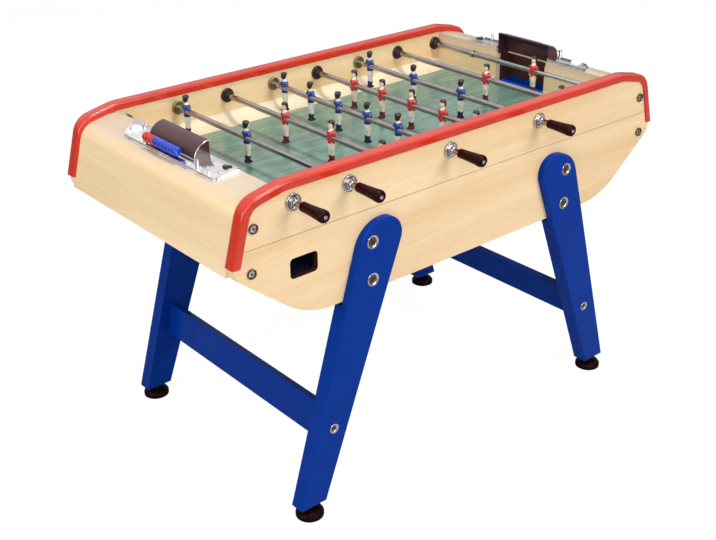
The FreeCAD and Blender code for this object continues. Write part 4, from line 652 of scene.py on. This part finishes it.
def model_player(team):
    """A cast player facing +X with the rod's axis on the origin."""
    shirt = loft(f"{team}Shirt", [
        (-15, 8.4, 9.4, 0, 0), (-13.6, 9.4, 10.4, 0, 0), (-10, 9.2, 9.8, 0.1, 0),
        (-5, 8.8, 9.2, 0.3, 0), (1, 9.4, 9.8, 0.5, 0), (8, 10.4, 11.6, 0.7, 0),
        (13, 10.4, 13.0, 0.4, 0), (16.6, 9.0, 12.4, 0, 0), (19.2, 6.6, 9.0, -0.2, 0),
        (20.8, 5.0, 6.2, -0.2, 0)])
    collar = loft(f"{team}Collar", [
        (17.4, 7.9, 8.4, 0.4, 0), (19.0, 7.4, 8.0, 0.3, 0), (21.4, 5.7, 6.4, 0.1, 0),
        (24.2, 5.0, 5.3, 0, 0), (25.2, 4.4, 4.6, 0, 0)])
    shorts = loft(f"{team}Shorts", [
        (-33.6, 7.2, 9.7, 0.3, 0), (-33, 8.0, 10.3, 0.3, 0), (-28, 8.4, 10.6, 0.3, 0),
        (-21, 8.6, 10.6, 0.2, 0), (-14, 8.3, 10.2, 0, 0)])
    parts = [painted(shirt, shirts[team]), painted(collar, shorts_cream),
             painted(shorts, shorts_cream)]
    for side in (-1, 1):
        for label, sections, material in (
                ("Leg", [(-50, 4.9, 4.0, 0.1, side*4.2), (-44, 5.3, 4.2, 0, side*4.3),
                         (-38.5, 5.6, 4.3, 0.3, side*4.5), (-35.5, 5.4, 4.2, 0.5, side*4.5),
                         (-31, 6.0, 4.6, 0.4, side*4.8)], shorts_cream),
                ("Sock", [(-62, 4.6, 4.0, -0.5, side*4.3), (-57, 4.9, 4.0, -0.3, side*4.3),
                          (-51, 5.6, 4.3, 0, side*4.3), (-48.4, 5.9, 4.5, 0, side*4.3),
                          (-47.4, 5.4, 4.3, 0, side*4.3)], socks[team]),
                ("Boot", [(-67, 9.9, 4.1, 1.4, side*4.3), (-65.6, 10.3, 4.2, 1.5, side*4.3),
                          (-63.4, 9.4, 4.2, 1.1, side*4.3), (-61.2, 7.0, 4.2, 0, side*4.3),
                          (-58.8, 5.2, 4.1, -0.7, side*4.3)], boots[team]),
                ("Arm", [(-12.6, 2.2, 1.7, 4.4, side*9.0), (-11, 3.2, 2.6, 4.0, side*10.2),
                         (-7.6, 4.1, 3.4, 2.4, side*12.6), (-3, 4.9, 3.6, 0.2, side*14.0),
                         (2.4, 5.2, 3.4, -1.2, side*14.2), (8, 4.9, 3.4, -0.9, side*13.8),
                         (13, 4.5, 3.4, -0.4, side*12.8), (16.4, 3.6, 3.0, -0.2, side*11.6),
                         (18.6, 1.8, 1.8, -0.2, side*9.8)], shirts[team])):
            parts.append(painted(loft(f"{team}{label}", sections, 16), material))
        parts.append(painted(ball_shape(f"{team}Hand", (5.6, side*8.8, -12.4), (2.6, 2.2, 2.6), 14),
                             skin))
        parts.append(painted(ball_shape(f"{team}Eye", (7.7, side*2.9, 35.8), (0.6, 1.1, 0.75), 12),
                             hair_black))
        parts.append(painted(ball_shape(f"{team}Brow", (7.6, side*3.0, 38.0), (0.7, 1.6, 0.4), 12),
                             hair_black))
    for label, sections, sides, material in (
            ("Neck", [(18, 4.4, 4.6, -0.2, 0), (24, 4.0, 4.1, -0.1, 0), (29, 4.2, 4.2, 0.2, 0)],
             16, skin),
            ("Head", [(25.2, 3.0, 2.8, 1.6, 0), (26.4, 5.0, 4.6, 1.4, 0), (29.2, 6.8, 6.2, 0.9, 0),
                      (32.8, 7.8, 7.4, 0.5, 0), (36.6, 8.1, 7.8, 0.2, 0), (40.4, 7.5, 7.2, 0, 0),
                      (43.2, 5.6, 5.2, -0.3, 0), (44.6, 2.8, 2.6, -0.3, 0)], 20, skin),
            ("Nose", [(31.8, 1.5, 1.2, 7.8, 0), (32.8, 1.7, 1.3, 8.1, 0), (34.8, 1.2, 0.9, 8.0, 0),
                      (37.2, 0.7, 0.6, 7.8, 0)], 10, skin),
            ("Hair", [(26.4, 3.6, 5.0, -3.8, 0), (28.4, 5.0, 6.8, -3.6, 0),
                      (31.6, 6.6, 8.3, -2.9, 0), (35.0, 7.4, 8.9, -2.2, 0),
                      (38.0, 7.9, 9.1, -1.6, 0), (40.2, 9.0, 9.1, -0.4, 0),
                      (42.6, 8.6, 8.5, -0.5, 0), (44.8, 6.4, 6.3, -0.6, 0),
                      (46, 3.0, 3.0, -0.6, 0)],
             20, hair_black)):
        parts.append(painted(loft(f"{team}{label}", sections, sides), material))
    mouth = ball_shape(f"{team}Mouth", (7.2, 0, 30.0), (0.5, 2.0, 0.45), 12)
    parts.append(painted(mouth, lip_red))
    for part in parts:
        smooth(part, 60)
    return join(f"player_{team}", parts)


def place_players():
    models = {"blue": model_player("blue"), "red": model_player("red")}
    for number, (team, count, gap) in ROWS.items():
        x, low, high = rod_spots(f"rod_{number}_figures")
        for index in range(count):
            y = (low + high)/2 + gap*(index - (count - 1)/2)
            turn = (0, 0, 0 if team == "blue" else 180)
            piece = copy_at(models[team], f"player_{number}_{index + 1}", (x, y, ROD_HEIGHT), turn)
            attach(piece, f"rod_{number}")
            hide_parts(f"rod_{number}_figures")
    for model in models.values():
        discard(model)


# ---------------------------------------------------------------- grips and bearings

def model_grip():
    """A turned grip about Z, its inner end at zero, with a screw in its end."""
    body = painted(lathe("GripBody", [
        (8.4, 0), (10.4, 0), (11.7, 0.7), (12.0, 2.4), (11.9, 6), (12.3, 20), (13.2, 38),
        (14.4, 56), (15.3, 67), (15.5, 71.5), (15.1, 75.4), (13.6, 78.4), (11.2, 80.2),
        (8.8, 80.6), (7.6, 79.4), (6.8, 78.6), (3.2, 78.6)], 48), grip_black)
    screw = painted(lathe("GripScrew", [(5.2, 78), (5.2, 79.6), (4.6, 80.4), (2.6, 80.8),
                                        (2.2, 79.6), (0.05, 79.6)], 24), chrome)
    ferrule = painted(lathe("GripFerrule", [(8.1, -0.8), (9.4, -0.8), (9.9, -0.4), (9.9, 0.4),
                                            (8.1, 0.4)], 40, ring=True), rod_steel)
    for part in (body, screw, ferrule):
        smooth(part, 40)
    return join("Grip", [body, screw, ferrule])


def place_grips():
    model = model_grip()
    for number in ROWS:
        low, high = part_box(f"rod_{number}_handle")
        x = (low[0] + high[0])/2/MM
        near = low[1] < 0
        y = (high[1] if near else low[1])/MM
        piece = copy_at(model, f"grip_{number}", (x, y, ROD_HEIGHT), (90 if near else -90, 0, 0))
        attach(piece, f"rod_{number}")
        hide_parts(f"rod_{number}_handle")
    discard(model)


def model_flange():
    """Cupped chrome flange with a hexagon nut and its stub, standing up from Z = 0."""
    dish = lathe("FlangeDish", [
        (8.1, 0), (20.4, 0), (21, 0.7), (21, 5.0), (20.6, 6.2), (19.6, 7.0), (18.6, 6.8),
        (17.6, 5.4), (16.2, 3.4), (14.6, 2.6), (8.1, 2.6)], 48, ring=True)
    nut = lathe("FlangeNut", [(8.1, 2.2), (11.8, 2.2), (12.6, 3.0), (12.6, 8.4), (11.6, 9.4),
                              (8.1, 9.4)], 6, ring=True)
    stub = lathe("FlangeStub", [(8.1, 9.0), (10.2, 9.0), (10.4, 9.6), (10.4, 15.8),
                                (9.6, 17.0), (8.1, 17.0)], 40, ring=True)
    barrel = lathe("FlangeBarrel", [(8.1, -25.5), (14.8, -25.5), (14.8, 0.2), (8.1, 0.2)],
                   40, ring=True)
    for part, angle in ((dish, 40), (nut, 20), (stub, 40), (barrel, 40)):
        smooth(painted(part, chrome), angle)
    return join("Flange", [dish, nut, stub, barrel])


def model_bush():
    """Dark bush inside the panel."""
    disc = lathe("BushDisc", [
        (8.1, 0), (20.2, 0), (20.5, 0.8), (20.5, 4.4), (19.4, 6.2), (17.6, 7.0), (13.4, 7.2),
        (13.0, 8.4), (13.0, 16.6), (12.0, 18.0), (8.1, 18.0)], 48, ring=True)
    return smooth_painted(disc, bush_brown)


def smooth_painted(item, material, angle=40):
    smooth(item, angle)
    return painted(item, material)


def place_bearings():
    flange, bush = model_flange(), model_bush()
    for number in ROWS:
        x = rod_spots(f"rod_{number}_core")[0]
        handle_low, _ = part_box(f"rod_{number}_handle")
        side = -1 if handle_low[1] < 0 else 1
        for label, model, depth, turn in (("flange", flange, PANEL_OUT, 90*-side),
                                          ("bush", bush, PANEL_IN, 90*side)):
            piece = copy_at(model, f"{label}_{number}", (x, side*depth, ROD_HEIGHT), (turn, 0, 0))
            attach(piece, "cabinet")
            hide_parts("rod_bearings")
    discard(flange)
    discard(bush)


# ---------------------------------------------------------------- beads, bolts and feet

def place_beads():
    bead = lathe("BeadModel", [
        (1.9, -7.2), (8.0, -7.2), (10.2, -6.6), (11.5, -5.0), (12, -2.8), (12, 2.8), (11.5, 5.0),
        (10.2, 6.6), (8.0, 7.2), (1.9, 7.2)], 36, ring=True)
    smooth(bead, 60)
    for end, sign in (("left", -1), ("right", 1)):
        low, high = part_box(f"score_beads_{end}")
        x, z = (low[0] + high[0])/2/MM, (low[2] + high[2])/2/MM
        first = high[1]/MM - BEAD_LENGTH/2
        for index, colour in enumerate(BEADS if end == "left" else reversed(BEADS)):
            piece = copy_at(bead, f"bead_{end}_{index + 1}", (x, first - BEAD_PITCH*index, z),
                            (90, 0, 0))
            painted(piece, bead_red if colour == "red" else bead_blue)
            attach(piece, f"beads_{end}")
            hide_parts(f"score_beads_{end}")
    discard(bead)


def model_bolt(cup, hollow, rim, middle):
    """Ring of a given radius round a sunk bolt head with a square socket, up from Z = 0."""
    ring = lathe("BoltRing", [
        (hollow*cup, 0), (cup - 0.4, 0), (cup, 0.5), (cup, 4.6), (cup - 0.6, 5.3), (cup - 1.6, 5.4),
        (hollow*cup + 0.6, 3.4), (hollow*cup, 2.6)], 40, ring=True)
    head = lathe("BoltHead", [(hollow*cup, 0.3), (hollow*cup, 1.9), (0.40*cup, 2.7),
                              (0.36*cup, 2.7)], 40)
    well = lathe("BoltWell", [(0.36*cup, 2.8), (0.33*cup, 0.9), (0.05, 0.7)], 4)
    smooth_painted(ring, rim)
    smooth_painted(head, middle)
    smooth_painted(well, bush_brown, 20)
    return join("Bolt", [ring, head, well])


def place_bolts():
    leg_seat = PANEL_OUT + LEG_LAP - CUP_DEPTH
    for label, cup, hollow, seat, spots, rim, middle in (
            ("leg_bolt", 17.8, 0.66, leg_seat, LEG_BOLTS, chrome, bolt_brown),
            ("beam_bolt", 13.8, 0.54, leg_seat, BEAM_BOLTS, chrome, bolt_brown),
            ("end_bolt", 12, 0.70, PANEL_OUT, END_BOLTS, rim_bronze, steel)):
        model = model_bolt(cup, hollow, rim, middle)
        for index, (along, height) in enumerate(spots):
            for side, depth in (("near", -1), ("far", 1)):
                for end, sign in (("left", -1), ("right", 1)):
                    piece = copy_at(model, f"{label}_{side}_{end}_{index + 1}",
                                    (sign*along, depth*seat, height), (-90*depth, 0, 0))
                    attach(piece, "cabinet")
                    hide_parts("cabinet_bolts")
        discard(model)


def place_feet():
    pad = lathe("FootPad", [
        (34.5, 0), (36.6, 0.6), (37, 1.6), (37, 10.5), (36.4, 12.0), (35.4, 12.8), (34.8, 14.4),
        (32.8, 17.4), (28.0, 20.4), (21.0, 22.4), (14.5, 23.4), (13.2, 24.0), (8, 24)], 56)
    smooth_painted(pad, foot_black)
    stem = smooth_painted(lathe("FootStem", [(8, 23.6), (8, 85), (7, 86)], 32), steel)
    model = join("Foot", [pad, stem])
    for side in ("near", "far"):
        for end in ("left", "right"):
            low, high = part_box(f"foot_{side}_{end}")
            place = ((low[0] + high[0])/2/MM, (low[1] + high[1])/2/MM, 0)
            piece = copy_at(model, f"levelling_{side}_{end}", place)
            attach(piece, f"levelling_{side}_{end}")
            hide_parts(f"foot_{side}_{end}")
    discard(model)


def place_hood_highlight_beads():
    """Chrome bead round the curved edge at both ends of each hood: a painted highlight standing in
    for the shine on the hood's glossy edge.
    """
    low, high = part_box("goal_hoods")
    for end, sign in (("left", -1), ("right", 1)):
        for side, across in (("near", low[1]), ("far", high[1])):
            bpy.ops.mesh.primitive_circle_add(
                vertices=16, radius=HOOD_HIGHLIGHT_BEAD*MM, rotation=(0, math.pi/2, 0),
                location=(sign*HOOD_FRONT*MM, across, high[2] - HOOD_HIGHLIGHT_BEAD*MM))
            rim = bpy.context.object
            rim.name = f"hood_highlight_bead_{side}_{end}"
            apply_place(rim)
            begin_edit(rim)
            bpy.ops.mesh.spin(steps=28, angle=-sign*math.pi/2, axis=(0, 1, 0),
                              center=(sign*HOOD_FRONT*MM, across, high[2] - HOOD_RADIUS*MM))
            bpy.ops.mesh.select_all(action="SELECT")
            bpy.ops.mesh.fill_holes(sides=0)
            end_edit()
            smooth_painted(rim, chrome, 60)
            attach(rim, "cabinet")


def place_plate_details():
    """Screws and a low dark catch on each plate, and a small hook over its peg."""
    screw = smooth_painted(lathe("PlateScrewModel", [(4.4, -1), (4.4, 0.6), (3.6, 1.6), (1.6, 2.2),
                                                     (0.9, 1.2), (0.05, 1.2)], 24), steel)
    lobes = [smooth_painted(lathe("CatchLobe", [(7.5, -1), (7.5, 2.4), (6.6, 4.2), (4.4, 5.0),
                                                (0.05, 5.2)], 28), hair_black),
             put(smooth_painted(lathe("CatchTail", [(4.6, -1), (4.6, 1.8), (3.8, 3.0), (0.05, 3.4)],
                                      24), hair_black), (9, -6, 0)),
             put(smooth_painted(lathe("CatchPin", [(2.2, 4.8), (2.2, 6.4), (1.5, 7.2), (0.05, 7.4)],
                                      20), steel))]
    catch = join("CatchModel", lobes)
    bpy.ops.mesh.primitive_torus_add(major_radius=5*MM, minor_radius=1.2*MM, major_segments=32,
                                     minor_segments=12, rotation=(0, math.pi/2, 0))
    hook = bpy.context.object
    apply_place(hook)
    smooth_painted(hook, steel)
    for end, sign in (("left", -1), ("right", 1)):
        spots = [(screw, f"plate_screw_{end}_{index}", spot)
                 for index, spot in enumerate(PLATE_SCREWS, start=1)]
        spots += [(catch, f"plate_catch_{end}", PLATE_CATCH),
                  (hook, f"plate_hook_{end}", PLATE_HOOK)]
        for source, name, (along, across, height) in spots:
            turn = 0 if sign < 0 else 180
            piece = copy_at(source, name, (sign*along, -sign*across, height), (0, 0, turn))
            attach(piece, "cabinet")
    for source in (screw, catch, hook):
        discard(source)


place_players()
place_hood_highlight_beads()
place_plate_details()
place_grips()
place_bearings()
place_beads()
place_bolts()
place_feet()

bpy.context.scene.view_settings.view_transform = "Standard"
set_up_camera()
set_up_light()
set_up_floor()
